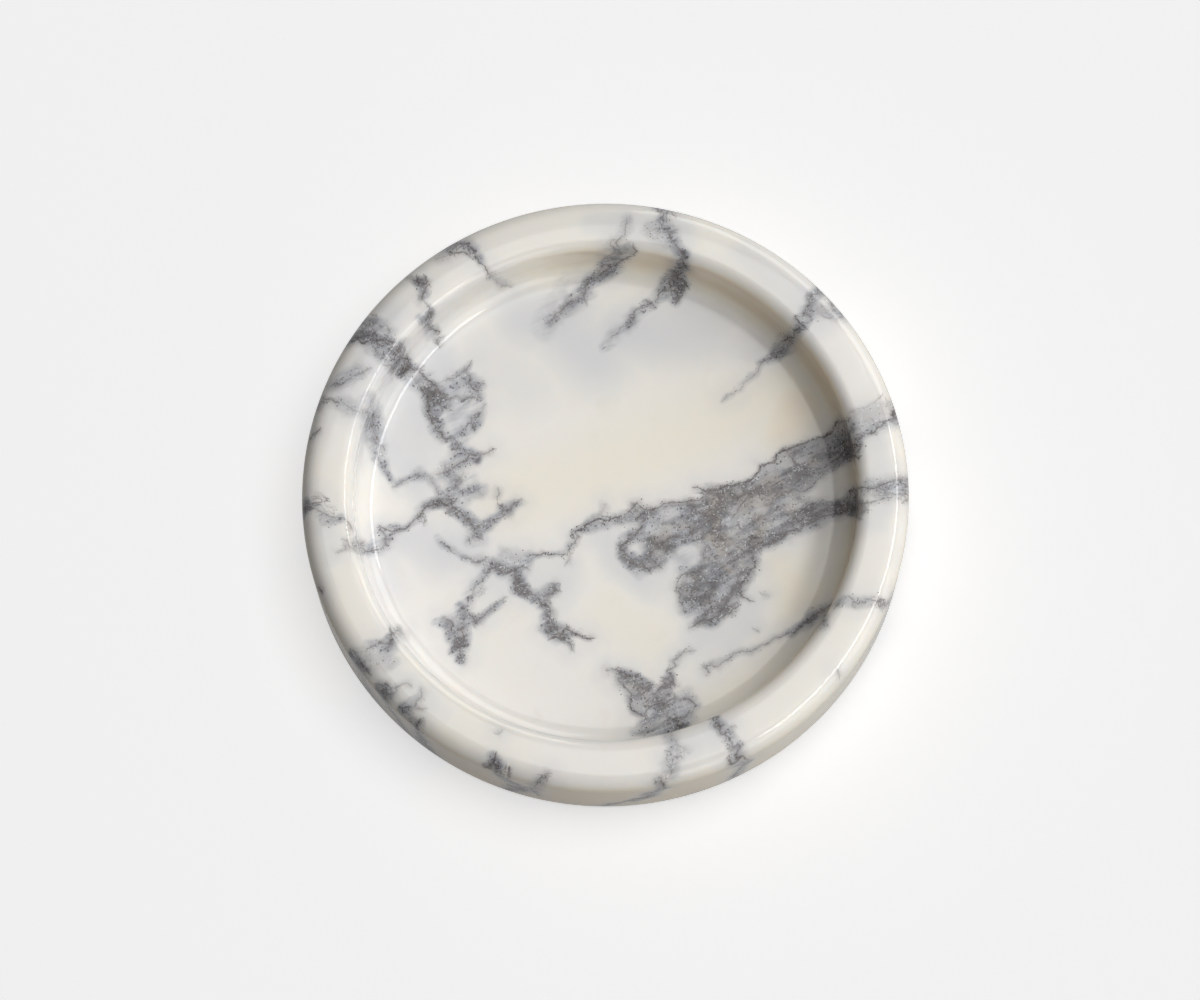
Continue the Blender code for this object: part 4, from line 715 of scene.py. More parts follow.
# The smoke around the veins, which has no edge: how dark, then x, y and half width in mm.
smokes = [
    # left cluster
    (0.75, [(-51, 36, 2.2), (-48, 34.5, 2.6), (-44.5, 32.5, 3), (-42.5, 30.5, 3.2),
            (-42, 27.5, 2.6), (-43, 24.5, 2.2), (-42.4, 22, 2), (-41, 19.5, 1.6),
            (-38.4, 17.6, 1.6), (-36.4, 16, 1.8), (-34.6, 14.2, 2), (-32.6, 12.8, 1.6)]),
    (0.42, [(-41, 30, 2.8), (-38, 28.6, 2.4), (-35, 28, 2.4), (-32.2, 29.2, 1.8), (-31.4, 31, 1.8),
            (-33.4, 33.2, 2), (-35, 35, 1.8), (-34, 37.6, 0.9)]),
    (0.45, [(-31.2, 29, 1.8), (-31.2, 25.4, 2), (-32.6, 22.4, 2.4), (-34.4, 19.6, 2),
            (-35.4, 16.6, 2)]),
    (0.34, [(-37, 31, 3), (-37, 24, 4), (-36.4, 19, 3)]),
    (0.48, [(-36.4, 13.4, 2.4), (-38.6, 11, 2.4), (-39.6, 8, 2.8), (-38.4, 5, 3.2),
            (-36.4, 3.4, 3), (-34.4, 4.4, 2.4)]),
    (0.50, [(-32.6, 13, 1.4), (-36.4, 11.5, 1.5), (-39.2, 10.2, 1.4)]),
    (0.40, [(-35.6, 9, 2.6), (-33.4, 5.4, 2.6), (-31, 4.6, 1.8)]),
    (0.58, [(-39, 1.8, 1.6), (-43, 1.3, 1.5), (-45.4, 0, 1.8), (-46.2, -2, 1.7),
            (-48.6, -3.6, 1.2), (-51.2, -4.9, 1), (-54, -5.2, 1.5), (-55.6, -7.2, 2),
            (-57.2, -10, 2), (-59.6, -11.4, 1.5)]),
    (0.56, [(-39, 1.8, 1.8), (-37, -0.6, 1.8), (-35.4, -2.6, 1.8), (-33.2, -4.6, 2),
            (-31.6, -6.2, 2.2), (-33.6, -9, 1.5)]),
    (0.48, [(-31, -5.4, 1.8), (-28.4, -3.6, 1.3), (-26, -1.2, 1.4), (-24, -0.2, 1.5),
            (-22, 0.9, 1)]),
    (0.38, [(-42, -7.6, 1.1), (-40.4, -9.4, 1.2), (-38.4, -10.6, 1), (-35, -12.6, 1),
            (-32, -13.6, 1.4), (-28, -15.4, 1.8), (-25, -16, 2)]),
    (0.40, [(-30, -17, 1.2), (-32.6, -19.2, 1.4), (-33.6, -22, 1.8), (-34.6, -25, 1.8)]),
    (0.78, [(-25.6, -16.6, 2), (-22.6, -17, 2.4), (-21.6, -19.6, 2), (-22, -21.4, 1.6),
            (-20.4, -22.6, 1.5)]),
    (0.50, [(-20.4, -16.2, 1.8), (-19.6, -13.6, 1.5), (-17, -12.6, 0.9)]),
    (0.24, [(-17, -12.6, 0.9), (-12, -12.2, 0.9), (-9.6, -11.2, 0.9), (-8, -8.6, 1.1)]),
    (0.52, [(-20.4, -22.6, 1.4), (-18, -23.4, 1.6), (-16, -22.6, 1.6), (-14, -21.2, 1.6),
            (-12.6, -20.2, 0.9)]),
    (0.82, [(-18, -24.2, 1.4), (-16, -26, 1.3), (-15.4, -28.4, 1.4), (-14.4, -31, 2),
            (-12.6, -32.5, 2.6), (-10.6, -33.4, 2), (-9.6, -35.2, 1.3)]),
    (0.60, [(-11, -33, 1.5), (-8, -33.2, 0.9), (-5, -33.9, 0.6)]),
    (0.72, [(-36, -25.4, 1.6), (-36, -28, 2.2), (-37.4, -30, 3), (-37.2, -33, 2.6),
            (-37.4, -36, 2.2), (-36.6, -38.4, 1.4)]),
    (0.52, [(-42, -29.4, 1.2), (-39.4, -30, 2)]),
    (0.36, [(-35, -29.6, 1.5), (-31.4, -28.9, 1.2), (-29, -26.6, 1.2), (-26.2, -24.2, 0.8)]),
    (0.46, [(-57.6, 24, 2.4), (-58, 20, 2.6), (-57.4, 17, 2.4), (-56.2, 14, 2.2),
            (-55.6, 11.4, 1.5), (-53.6, 8, 1)]),
    (0.50, [(-52, 6.4, 0.8), (-49.6, 7.6, 0.9), (-46.6, 8.5, 1.8)]),
    (0.32, [(-46, 8.8, 1.3), (-42.2, 6, 1.3), (-41, 4, 1.2)]),
    # long vein and the grey mass
    (0.42, [(-8.4, -7.8, 1), (-4, -5, 1.8), (0, -4.2, 1.9), (5, -3.2, 1.9), (10, -2.4, 2.2)]),
    (0.75, [(9, -3, 2.2), (14, -4.6, 2.6), (20, -5, 3.2), (26, -4, 4), (31, 0, 3.5), (38, 3, 3.2),
            (46, 7.4, 3.5), (54, 11.4, 4), (61, 13, 3)]),
    (0.75, [(20, -8.4, 2.6), (15, -10.4, 2.8), (12, -13.2, 2.6), (8, -15.8, 2.2), (4.6, -13, 2),
            (5, -9.6, 1.7), (8, -6.6, 1.7)]),
    (0.30, [(17, -12, 3), (20, -14, 3), (19, -17, 2.5)]),
    (0.90, [(34, -10, 4), (31, -15, 5), (27, -20, 6.4), (24, -25, 5.2), (25.4, -29, 2.6)]),
    (0.80, [(38, -9.4, 2.6), (44, -7.4, 3), (50, -4, 2.8), (56, -2.6, 2.2), (61, -2, 2.2)]),
    (0.60, [(34, -4.4, 4), (42, -2.4, 3.2)]),
    # veins under the rear wall and at the right
    (0.52, [(4, 61.2, 1.6), (0, 60, 2), (-3, 58, 2.4), (-4.8, 55, 2.8), (-8, 52.8, 2.4),
            (-11, 50.2, 2), (-13.6, 48.2, 1.5)]),
    (0.22, [(-7, 58, 3.2), (-12, 53, 3.6), (-15, 46, 3)]),
    (0.56, [(20.4, 60, 1.8), (18.6, 57.2, 2.6), (16, 55.6, 2.4), (13, 53.2, 1.4)]),
    (0.60, [(19.6, 56, 2.2), (19, 52.8, 1.4)]),
    (0.50, [(12.4, 52.2, 1.5), (8.6, 50, 1.6), (7, 47.4, 2), (4, 44.6, 1.8), (0.6, 41, 1.4)]),
    (0.45, [(49.4, 41.2, 2), (46, 39.6, 2), (43, 38, 1.6), (40, 36, 1.2)]),
    (0.16, [(39.4, 34.4, 1.3), (35, 31, 1), (30, 27, 0.8)]),
    (0.22, [(25, -41.4, 1.2), (30, -39, 1.2), (35, -37.9, 1.2), (40, -35.4, 1.2),
            (45, -33.6, 1.2)]),
    (0.45, [(45, -33.6, 1.2), (48, -31.6, 1.5), (51.6, -29.4, 2), (55, -28, 2)]),
    # bottom body
    (0.55, [(3.6, -43, 1.4), (7, -45, 2), (9.6, -46.2, 1.6)]),
    (0.90, [(7, -50.2, 2.4), (12, -52.2, 3.4), (18, -52, 3), (20.6, -51, 1.8)]),
    (0.80, [(11, -56.4, 2.8), (16.4, -56, 2.8)]),
    (0.45, [(13.8, -48.2, 1.8), (15, -45.4, 1.5), (15.6, -42, 1.2), (18, -38.6, 0.9)]),
    # rim
    (0.80, [(-63, 40.6, 2), (-58, 40, 2.6), (-54, 39, 2.2), (-51, 36, 2.2)]),
    (0.42, [(-60, 45, 2.4), (-56, 43.4, 2.6), (-53, 41.4, 2)]),
    (0.45, [(-57.4, 37.6, 2), (-54.6, 35, 1.8)]),
    (0.60, [(-45.4, 54, 1.7), (-44.6, 51, 1.5)]),
    (0.50, [(-42.8, 47, 1.2), (-44.4, 44.9, 1.6)]),
    (0.45, [(-39, 63, 1.6), (-35, 64.4, 1.8), (-32, 62.2, 1.5), (-29.4, 59.2, 1)]),
    (0.34, [(-66.4, 28.4, 1.8), (-61, 31, 1.9)]),
    (0.26, [(-65, 23, 2), (-60.4, 21.2, 1.7)]),
    (0.55, [(-75, -3, 2), (-72, -3, 1.5), (-69, -6, 1.6), (-65, -6.5, 1.2)]),
    (0.45, [(-58, -38.6, 1.6), (-54, -38.8, 2), (-52.6, -36.4, 1.2)]),
    (0.45, [(-62.4, -40.8, 1.6), (-59.2, -44, 1.6)]),
    (0.45, [(-57, -48.6, 1.5), (-53, -49.8, 1.5)]),
    (0.50, [(-50.4, -54, 1.5), (-47, -52, 1.2)]),
    (0.45, [(-29, -66, 1.2), (-27, -68.6, 1.6)]),
    (0.32, [(14, -61.6, 1.6), (15, -66, 2), (14, -71, 2.2)]),
    (0.50, [(25.4, -57.6, 1.5), (28, -62, 1.8), (30.6, -65.2, 1.8)]),
    (0.45, [(54.4, 50.2, 1.6), (51.4, 46, 1.8), (49.4, 42, 2)]),
    (0.36, [(50.4, 44.2, 1.5), (59, 45, 1.5)]),
    (0.45, [(15.2, 72, 1.8), (16, 67.4, 1.7), (17.6, 64, 1.4), (19.4, 61, 1.6)]),
    (0.32, [(63.6, 14, 2.4), (68, 15.2, 2.2), (73, 16.2, 1.6)]),
    (0.50, [(63, -1.4, 2.2), (68, -0.8, 2), (74.6, 0, 2)]),
    (0.32, [(58, -29.2, 1.5), (64, -28.6, 1.5)]),
]


# A point with no vein near it counts as this many mm away from one, and distances in mm
# beyond the second number make no difference.
far = 99.0
longest = 30.0
# Where grey veins meet, their darkness is a blend. The pull of each is full from blend_start
# mm inside its edge and falls by a factor of e every blend_length mm outward. The large
# bodies pull less than the strokes drawn over them.
blend_start = 0.6
blend_length = 0.5
body_share = 0.2
# The tone, and the half width of a seam in mm, where nothing is drawn.
idle_tone = 0.5
idle_half_width = 0.2


def to_segment(u, v, start, end):
    """Distance in mm from each point to a segment, and where along it the nearest spot is."""
    (x0, y0), (x1, y1) = start[:2], end[:2]
    along = ((u - x0) * (x1 - x0) + (v - y0) * (y1 - y0)) / math.dist((x0, y0), (x1, y1)) ** 2
    along = np.clip(along, 0.0, 1.0)
    return np.hypot(u - x0 - along * (x1 - x0), v - y0 - along * (y1 - y0)), along


def blend(edge):
    """How much a vein pulls at each distance in mm from its edge."""
    return np.exp(-np.clip(edge + blend_start, 0.0, longest) / blend_length)


def nearest_greys(bodies, strokes, u, v):
    """Distance in mm to the edge of the nearest grey vein, below 0 inside, and its darkness."""
    gap = np.full(len(u), far)
    weight = np.full(len(u), 1e-6)
    tone = weight * idle_tone
    for dark, outline in bodies:
        edge = np.full(len(u), far)
        within = np.zeros(len(u), bool)
        for (x0, y0), (x1, y1) in zip(outline, outline[1:] + outline[:1]):
            edge = np.minimum(edge, to_segment(u, v, (x0, y0), (x1, y1))[0])
            if y0 != y1:
                within ^= ((y0 > v) != (y1 > v)) & (u < x0 + (v - y0) * (x1 - x0) / (y1 - y0))
        edge = np.where(within, -edge, edge)
        gap = np.minimum(gap, edge)
        share = blend(edge) * body_share
        weight += share
        tone += share * dark
    for dark, points in strokes:
        for start, end in zip(points, points[1:]):
            edge, along = to_segment(u, v, start, end)
            edge -= start[2] + along * (end[2] - start[2])
            gap = np.minimum(gap, edge)
            share = blend(edge)
            weight += share
            tone += share * dark
    return gap, tone / weight


def nearest_seams(strokes, u, v):
    """Distance in mm to the nearest seam, then signed by side, and its ink and half width."""
    gap = np.full(len(u), far)
    side = np.full(len(u), far)
    ink = np.zeros(len(u))
    width = np.full(len(u), idle_half_width)
    for dark, half, points in strokes:
        for (x0, y0), (x1, y1) in zip(points, points[1:]):
            d, along = to_segment(u, v, (x0, y0), (x1, y1))
            sign = np.sign((x1 - x0) * (v - y0) - (y1 - y0) * (u - x0))
            nearer = d < gap
            gap = np.where(nearer, d, gap)
            side = np.where(nearer, d * sign, side)
            ink = np.where(nearer, dark, ink)
            width = np.where(nearer, half, width)
    return gap, side, ink, width


def unrolled(strokes, radius, first_angle):
    """Strokes given in degrees and mm of height, with the degrees as mm along the surface."""
    arc = radius * math.pi / 180.0
    return [(*stroke[:-1], [((p[0] - first_angle) * arc, *p[1:]) for p in stroke[-1]])
            for stroke in strokes]


def steps(value, low, high):
    """0 below low, 1 above high, smooth between."""
    t = np.clip((value - low) / (high - low), 0.0, 1.0)
    return t * t * (3.0 - 2.0 * t)


def soft_reach(points, u, v, soft_edge, growth=1.0, spread=0.0):
    """How strongly a soft stroke reaches each point: 1 in its middle, 0 past its edge."""
    reach = np.zeros(len(u))
    for start, end in zip(points, points[1:]):
        d, along = to_segment(u, v, start, end)
        half = growth * (start[2] + along * (end[2] - start[2])) + spread
        reach = np.maximum(reach, 1.0 - steps(d / half, 0.1, soft_edge))
    return reach


count = len(stone_mesh.vertices)
flat = np.zeros(count * 3)
stone_mesh.vertices.foreach_get("co", flat)
place = flat.reshape(-1, 3) * MM
place[:, 2] -= stone_low.z * MM

# The drawn strokes are smooth, and a real vein wanders. Each point is looked up a little
# off its place: a slow wander, and a quicker one. The seed keeps it the same each run.
wander_seed = 7
noise.seed_set(wander_seed)
wander = np.zeros_like(place)
for wave, reach in [(6.5, 0.55), (2.2, 0.50)]:
    wander += np.array([noise.noise_vector(Vector(p) / wave)[:] for p in place]) * reach
moved = place + wander

radius = np.hypot(place[:, 0], place[:, 1])
height = place[:, 2]
turn = np.degrees(np.arctan2(moved[:, 1], moved[:, 0]))
floor_z = (floor_top - stone_low.z) * MM
rim_z = (stone_high.z - stone_low.z) * MM
wall_r = inner_radius * MM
side_r = outer_radius * MM
# Each zone reaches a few mm past its own faces, so that veins run on over the lips.
inside = (radius < wall_r + 0.5) & (height > floor_z - 0.5)
top = height > rim_z - 12.0
outside = radius > side_r - 9.0
below = height < 6.0

# Each zone: its points, their two coordinates in mm, what is added to every distance
# where the zone ends, and its strokes.
wall_first = -180.0
side_first = 25.0
wall_u = np.mod(turn - wall_first, 360.0) * wall_r * math.pi / 180.0
side_u = np.mod(turn - side_first, 360.0) * side_r * math.pi / 180.0
dip = (5.0, -3.0)
zones = [
    # the floor, and the foot of the wall
    (inside, moved[:, 0], moved[:, 1], 0.7 * np.maximum(height - floor_z - 4.5, 0.0),
     floor_bodies, floor_greys, floor_seams),
    # the rim
    (top, moved[:, 0], moved[:, 1], 0.7 * np.maximum(rim_z - 3.0 - height, 0.0),
     [], rim_greys, rim_seams),
    # the inner wall
    (inside | (top & (radius < wall_r + 4.0)), wall_u, moved[:, 2],
     1.2 * np.maximum(np.abs(radius - wall_r) - 0.8, 0.0),
     [], unrolled(wall_greys, wall_r, wall_first), unrolled(wall_seams, wall_r, wall_first)),
    # the outer side
    (outside, side_u, moved[:, 2], 1.2 * np.maximum(side_r - 1.6 - radius, 0.0),
     [], unrolled(side_greys, side_r, side_first), unrolled(side_seams, side_r, side_first)),
    # the underside, which the floor's and the rim's veins reach with a lean
    (below, moved[:, 0] - dip[0], moved[:, 1] - dip[1], np.maximum(height - 1.0, 0.0),
     floor_bodies, floor_greys + rim_greys, floor_seams + rim_seams),
]
vein_gap = np.full(count, far)
vein_tone = np.full(count, idle_tone)
seam_gap = np.full(count, far)
seam_side = np.full(count, far)
seam_ink = np.zeros(count)
seam_width = np.full(count, idle_half_width)
for where, u, v, ends, bodies, greys, seams in zones:
    gap, tone = nearest_greys(bodies, greys, u[where], v[where])
    gap = gap + ends[where]
    nearer = gap < vein_gap[where]
    vein_gap[where] = np.where(nearer, gap, vein_gap[where])
    vein_tone[where] = np.where(nearer, tone, vein_tone[where])
    gap, side, ink, width = nearest_seams(seams, u[where], v[where])
    gap = gap + ends[where]
    nearer = gap < seam_gap[where]
    side = side + np.sign(side) * ends[where]
    for kept, new in [(seam_gap, gap), (seam_side, side), (seam_ink, ink), (seam_width, width)]:
        kept[where] = np.where(nearer, new, kept[where])

# Clouds and smoke end at this many half widths from the middle of their strokes.
cloud_edge = 1.7
smoke_edge = 1.65
cool_and_painted_tint = np.zeros(count)
warm_and_painted_glow = np.zeros(count)
for strength, points in clouds:
    reach = abs(strength) * soft_reach(points, moved[:, 0], moved[:, 1], cloud_edge)
    if strength > 0.0:
        cool_and_painted_tint = np.maximum(cool_and_painted_tint, reach)
    else:
        warm_and_painted_glow = np.maximum(warm_and_painted_glow, reach)
smoke = np.zeros(count)
for dark, points in smokes:
    smoke = np.maximum(smoke, dark * soft_reach(points, moved[:, 0], moved[:, 1], smoke_edge))

# On the outer side the smoke follows the strokes that are drawn there, a little wider.
side_smoke = np.zeros(count)
for dark, points in unrolled(side_greys, side_r, side_first):
    reach = soft_reach(points, side_u, moved[:, 2], smoke_edge, growth=1.5, spread=0.6)
    side_smoke = np.maximum(side_smoke, 0.9 * dark * reach)
upright = steps(rim_z - height, 2.5, 6.0) * (radius > side_r - 6.0)
smoke = smoke * (1.0 - upright) + side_smoke * upright

# Painted light: a warm glow is painted into the colour of the upright faces, for light that
# shines through the stone into their shade. Each is warmest on its shaded side, at this many
# degrees round, the outer side has some all round, and the inner wall is painted cooler
# opposite, where the light falls on it.
painted_glow_wall_angle = 20.0
painted_glow_side_angle = 215.0
wall_painted_glow = 2.2
side_painted_glow = 1.1
side_painted_glow_more = 1.3
lit_wall_painted_cool = 0.4
painted_glow_over_cool = 0.7
upright = steps(rim_z - height, 0.6, 3.0) * steps(height - floor_z, -0.5, 5.0)
wall_glow_turn = steps(np.cos(np.radians(turn - painted_glow_wall_angle)), -0.35, 0.55)
warm_and_painted_glow = np.maximum(warm_and_painted_glow, wall_painted_glow * upright * wall_glow_turn * (np.abs(radius - wall_r) < 4.0))
upright = steps(rim_z - height, 1.0, 5.0) * steps(height, -1.0, 3.0)
side_glow_turn = steps(np.cos(np.radians(turn - painted_glow_side_angle)), -0.2, 0.8)
warm_and_painted_glow = np.maximum(warm_and_painted_glow, (side_painted_glow + side_painted_glow_more * side_glow_turn) * upright
                  * (radius > side_r - 4.0))
cool_and_painted_tint *= 1.0 - painted_glow_over_cool * steps(warm_and_painted_glow, 0.6, 1.4)
cool_and_painted_tint = np.maximum(cool_and_painted_tint, lit_wall_painted_cool * (1.0 - wall_glow_turn)
                  * steps(height - floor_z, 1.0, 5.0) * (radius < wall_r + 1.0))

# The cloud values hold the stone's own clouds together with the painted warm glow, the painted cool
# tint and the painted shade on the floor by the right wall.
for name, values in [("vein_gap", np.minimum(vein_gap, longest)), ("vein_tone", vein_tone),
                     ("seam_gap", np.minimum(seam_gap, longest)),
                     ("seam_side", np.clip(seam_side, -longest, longest)),
                     ("seam_ink", seam_ink), ("seam_width", seam_width),
                     ("cloud_and_painted_tint", cool_and_painted_tint - warm_and_painted_glow), ("smoke", smoke)]:
    attribute = stone_mesh.attributes.new(name, "FLOAT", "POINT")
    attribute.data.foreach_set("value", values.astype(np.float32))


def linear(hex_colour):
    """An sRGB hex colour as the linear colour that a shader takes."""
    parts = [int(hex_colour[i:i + 2], 16) / 255.0 for i in (1, 3, 5)]
    return (*[c / 12.92 if c <= 0.04045 else ((c + 0.055) / 1.055) ** 2.4 for c in parts], 1.0)


def add(material, kind, inputs, output=0, **settings):
    """Add a node with its settings and its values or links, and return one of its outputs."""
    tree = material.node_tree
    made = tree.nodes.new(kind)
    for name, value in settings.items():
        setattr(made, name, value)
    for socket, value in inputs.items():
        if isinstance(value, bpy.types.NodeSocket):
            tree.links.new(value, made.inputs[socket])
        else:
            made.inputs[socket].default_value = value
    return made.outputs[output] if made.outputs else made


# Calcite marble, polished to a soft gloss. Light goes a few millimetres into it, which
# makes its edges glow warm, and more warm glow is painted into its upright faces. The veins
# hold dark mica and coarser, clearer grains.
marble = bpy.data.materials.new("polished_marble")
marble.use_nodes = True
marble.node_tree.nodes.clear()
coords = add(marble, "ShaderNodeTexCoord", {}, output="Object")
stone_mm = add(marble, "ShaderNodeMapping", {"Vector": coords, "Scale": (MM, MM, MM)})
gap, tone, line_gap, line_side, line_ink, line_half, haze_and_painted_tint, smoke = [
    add(marble, "ShaderNodeAttribute", {}, output="Fac", attribute_name=name)
    for name in ("vein_gap", "vein_tone", "seam_gap", "seam_side", "seam_ink", "seam_width",
                 "cloud_and_painted_tint", "smoke")
]

# Noise scales are one over the size in mm of what they draw.
cloudy = add(marble, "ShaderNodeTexNoise", {"Vector": stone_mm, "Scale": 1 / 40.0, "Detail": 3.0,
                                            "Roughness": 0.50})
wisps = add(marble, "ShaderNodeTexNoise", {"Vector": stone_mm, "Scale": 1 / 8.0, "Detail": 5.0,
                                           "Roughness": 0.6, "Distortion": 0.5})
patchy = add(marble, "ShaderNodeTexNoise", {"Vector": stone_mm, "Scale": 1 / 6.0, "Detail": 2.0,
                                            "Roughness": 0.5})
ragged = add(marble, "ShaderNodeTexNoise", {"Vector": stone_mm, "Scale": 1 / 1.5, "Detail": 4.0,
                                            "Roughness": 0.62})
grain = add(marble, "ShaderNodeTexVoronoi", {"Vector": stone_mm, "Scale": 1 / 0.34}, output="Color")
grain_shade = add(marble, "ShaderNodeSeparateColor", {"Color": grain}, output="Red")
grain_other = add(marble, "ShaderNodeSeparateColor", {"Color": grain}, output="Green")
# The beds of the stone lean one way, and the grey is drawn out along them.
beds_mm = add(marble, "ShaderNodeMapping", {"Vector": stone_mm, "Scale": (4.0, 1.0, 1.5),
                                            "Rotation": (0.0, 0.0, math.radians(25.0))},
              vector_type="TEXTURE")
beds = add(marble, "ShaderNodeTexNoise", {"Vector": beds_mm, "Scale": 1 / 1.7, "Detail": 3.0,
                                          "Roughness": 0.55, "Distortion": 0.3})
mottle = add(marble, "ShaderNodeTexNoise", {"Vector": stone_mm, "Scale": 1 / 2.2, "Detail": 3.0,
                                            "Roughness": 0.6})

# The white: warm cream, cooler in listed clouds, with faint tan wisps. A mix of two
# colours takes them at its inputs 6 and 7 and gives the mixed one at output 2.
warm_share = add(marble, "ShaderNodeMapRange", {"Value": cloudy, "From Min": 0.36,
                                                "From Max": 0.64},
                 interpolation_type="SMOOTHSTEP")
white = add(marble, "ShaderNodeMix", {"Factor": warm_share, 6: linear("#E7E4E0"),
                                      7: linear("#E7E4DD")}, output=2, data_type="RGBA")
wisp_share = add(marble, "ShaderNodeMapRange", {"Value": wisps, "From Min": 0.58, "From Max": 0.80,
                                                "To Max": 0.22})
white = add(marble, "ShaderNodeMix", {"Factor": wisp_share, 6: white, 7: linear("#D3C6B4")},
            output=2, data_type="RGBA")
# Cream and tan also carry the painted warm glow and painted shade, and the cool grey also carries
# the painted cool tint.
cream_and_painted_glow = add(marble, "ShaderNodeMapRange", {"Value": haze_and_painted_tint, "From Min": 0.0, "From Max": -1.0})
tan_and_painted_glow = add(marble, "ShaderNodeMapRange", {"Value": haze_and_painted_tint, "From Min": -0.9, "From Max": -2.4})
white = add(marble, "ShaderNodeMix", {"Factor": cream_and_painted_glow, 6: white, 7: linear("#E8E2D4")},
            output=2, data_type="RGBA")
white = add(marble, "ShaderNodeMix", {"Factor": tan_and_painted_glow, 6: white, 7: linear("#E2D3BC")},
            output=2, data_type="RGBA")
white = add(marble, "ShaderNodeMix", {"Factor": haze_and_painted_tint, 6: white, 7: linear("#D0D1D4")},
            output=2, data_type="RGBA")

# The cool smoke that spreads from each vein into the white.
any_gap = add(marble, "ShaderNodeMath", {0: gap, 1: line_gap}, operation="MINIMUM")
smoke_noise = add(marble, "ShaderNodeMapRange", {"Value": wisps, "From Min": 0.3, "From Max": 0.7,
                                                 "To Min": -1.2, "To Max": 1.2})
smoke_gap = add(marble, "ShaderNodeMath", {0: any_gap, 1: smoke_noise}, operation="ADD")
far_smoke = add(marble, "ShaderNodeMapRange", {"Value": smoke_gap, "From Min": 7.0, "From Max": 0.0,
                                               "To Max": 0.28}, interpolation_type="SMOOTHERSTEP")
stone = add(marble, "ShaderNodeMix", {"Factor": far_smoke, 6: white, 7: linear("#C9CACE")},
            output=2, data_type="RGBA")
near_smoke = add(marble, "ShaderNodeMapRange", {"Value": smoke_gap, "From Min": 2.2,
                                                "From Max": -0.4, "To Max": 0.40},
                 interpolation_type="SMOOTHERSTEP")
smoke_colour = add(marble, "ShaderNodeMix", {"Factor": mottle, 6: linear("#AAACB2"),
                                             7: linear("#B7B0A8")}, output=2, data_type="RGBA")
stone = add(marble, "ShaderNodeMix", {"Factor": near_smoke, 6: stone, 7: smoke_colour},
            output=2, data_type="RGBA")
streaks = add(marble, "ShaderNodeMath", {0: beds, 1: patchy}, operation="ADD")
streaks = add(marble, "ShaderNodeMapRange", {"Value": streaks, "From Min": 0.80, "From Max": 1.22,
                                             "To Min": 0.25, "To Max": 1.55})
smoke = add(marble, "ShaderNodeMath", {0: smoke, 1: streaks}, operation="MULTIPLY")
smoke_light = add(marble, "ShaderNodeMapRange", {"Value": smoke, "From Min": 0.03,
                                                 "From Max": 0.52, "To Max": 0.97})
smoke_dark = add(marble, "ShaderNodeMapRange", {"Value": smoke, "From Min": 0.38,
                                                "From Max": 1.10, "To Max": 0.72})
stone = add(marble, "ShaderNodeMix", {"Factor": smoke_light, 6: stone, 7: linear("#A9ABB1")},
            output=2, data_type="RGBA")
stone = add(marble, "ShaderNodeMix", {"Factor": smoke_dark, 6: stone, 7: linear("#57575C")},
            output=2, data_type="RGBA")

# The grey body of a vein. Its edge is ragged by a grain or two, crisp in some places and
# soft in others.
ragged_mm = add(marble, "ShaderNodeMapRange", {"Value": ragged, "From Min": 0.25, "From Max": 0.75,
                                               "To Min": -0.60, "To Max": 0.60})
grain_mm = add(marble, "ShaderNodeMapRange", {"Value": grain_shade, "To Min": -0.14,
                                              "To Max": 0.14})
rough_mm = add(marble, "ShaderNodeMath", {0: ragged_mm, 1: grain_mm}, operation="ADD")
body_gap = add(marble, "ShaderNodeMath", {0: gap, 1: rough_mm}, operation="ADD")
softness = add(marble, "ShaderNodeMapRange", {"Value": patchy, "From Min": 0.40, "From Max": 0.62,
                                              "To Min": 0.50, "To Max": 2.20})
body_depth = add(marble, "ShaderNodeMath", {0: body_gap, 1: softness}, operation="DIVIDE")
body = add(marble, "ShaderNodeMapRange", {"Value": body_depth, "From Min": 0.9, "From Max": -0.9},
           interpolation_type="SMOOTHSTEP")
bed_shade = add(marble, "ShaderNodeMapRange", {"Value": beds, "From Min": 0.30, "From Max": 0.70,
                                               "To Min": -0.28, "To Max": 0.28})
mottle_shade = add(marble, "ShaderNodeMapRange", {"Value": mottle, "From Min": 0.3, "From Max": 0.7,
                                                  "To Min": -0.14, "To Max": 0.14})
smoky = add(marble, "ShaderNodeTexNoise", {"Vector": stone_mm, "Scale": 1 / 4.5, "Detail": 2.0,
                                           "Roughness": 0.5})
smoky_shade = add(marble, "ShaderNodeMapRange", {"Value": smoky, "From Min": 0.3, "From Max": 0.7,
                                                 "To Min": -0.42, "To Max": 0.30})
grain_tone = add(marble, "ShaderNodeMapRange", {"Value": grain_other, "To Min": -0.10,
                                                "To Max": 0.10})
shade = tone
for change in (bed_shade, smoky_shade, mottle_shade, grain_tone):
    shade = add(marble, "ShaderNodeMath", {0: shade, 1: change}, operation="ADD")
pale_grey = add(marble, "ShaderNodeMapRange", {"Value": shade, "From Min": 0.0, "From Max": 0.55})
grey = add(marble, "ShaderNodeMix", {"Factor": pale_grey, 6: linear("#BCBEC3"),
                                     7: linear("#8A8C93")}, output=2, data_type="RGBA")
dark_grey = add(marble, "ShaderNodeMapRange", {"Value": shade, "From Min": 0.50, "From Max": 1.05})
grey = add(marble, "ShaderNodeMix", {"Factor": dark_grey, 6: grey, 7: linear("#4B494B")},
           output=2, data_type="RGBA")
brown_share = add(marble, "ShaderNodeMapRange", {"Value": wisps, "From Min": 0.40, "From Max": 0.58,
                                                 "To Max": 0.70})
deep = add(marble, "ShaderNodeMapRange", {"Value": gap, "From Min": -0.3, "From Max": -3.0,
                                          "To Min": 0.25})
brown_share = add(marble, "ShaderNodeMath", {0: brown_share, 1: deep}, operation="MULTIPLY")
brown = add(marble, "ShaderNodeMix", {"Factor": dark_grey, 6: linear("#A2988B"),
                                      7: linear("#625850")}, output=2, data_type="RGBA")
grey = add(marble, "ShaderNodeMix", {"Factor": brown_share, 6: grey, 7: brown},
           output=2, data_type="RGBA")

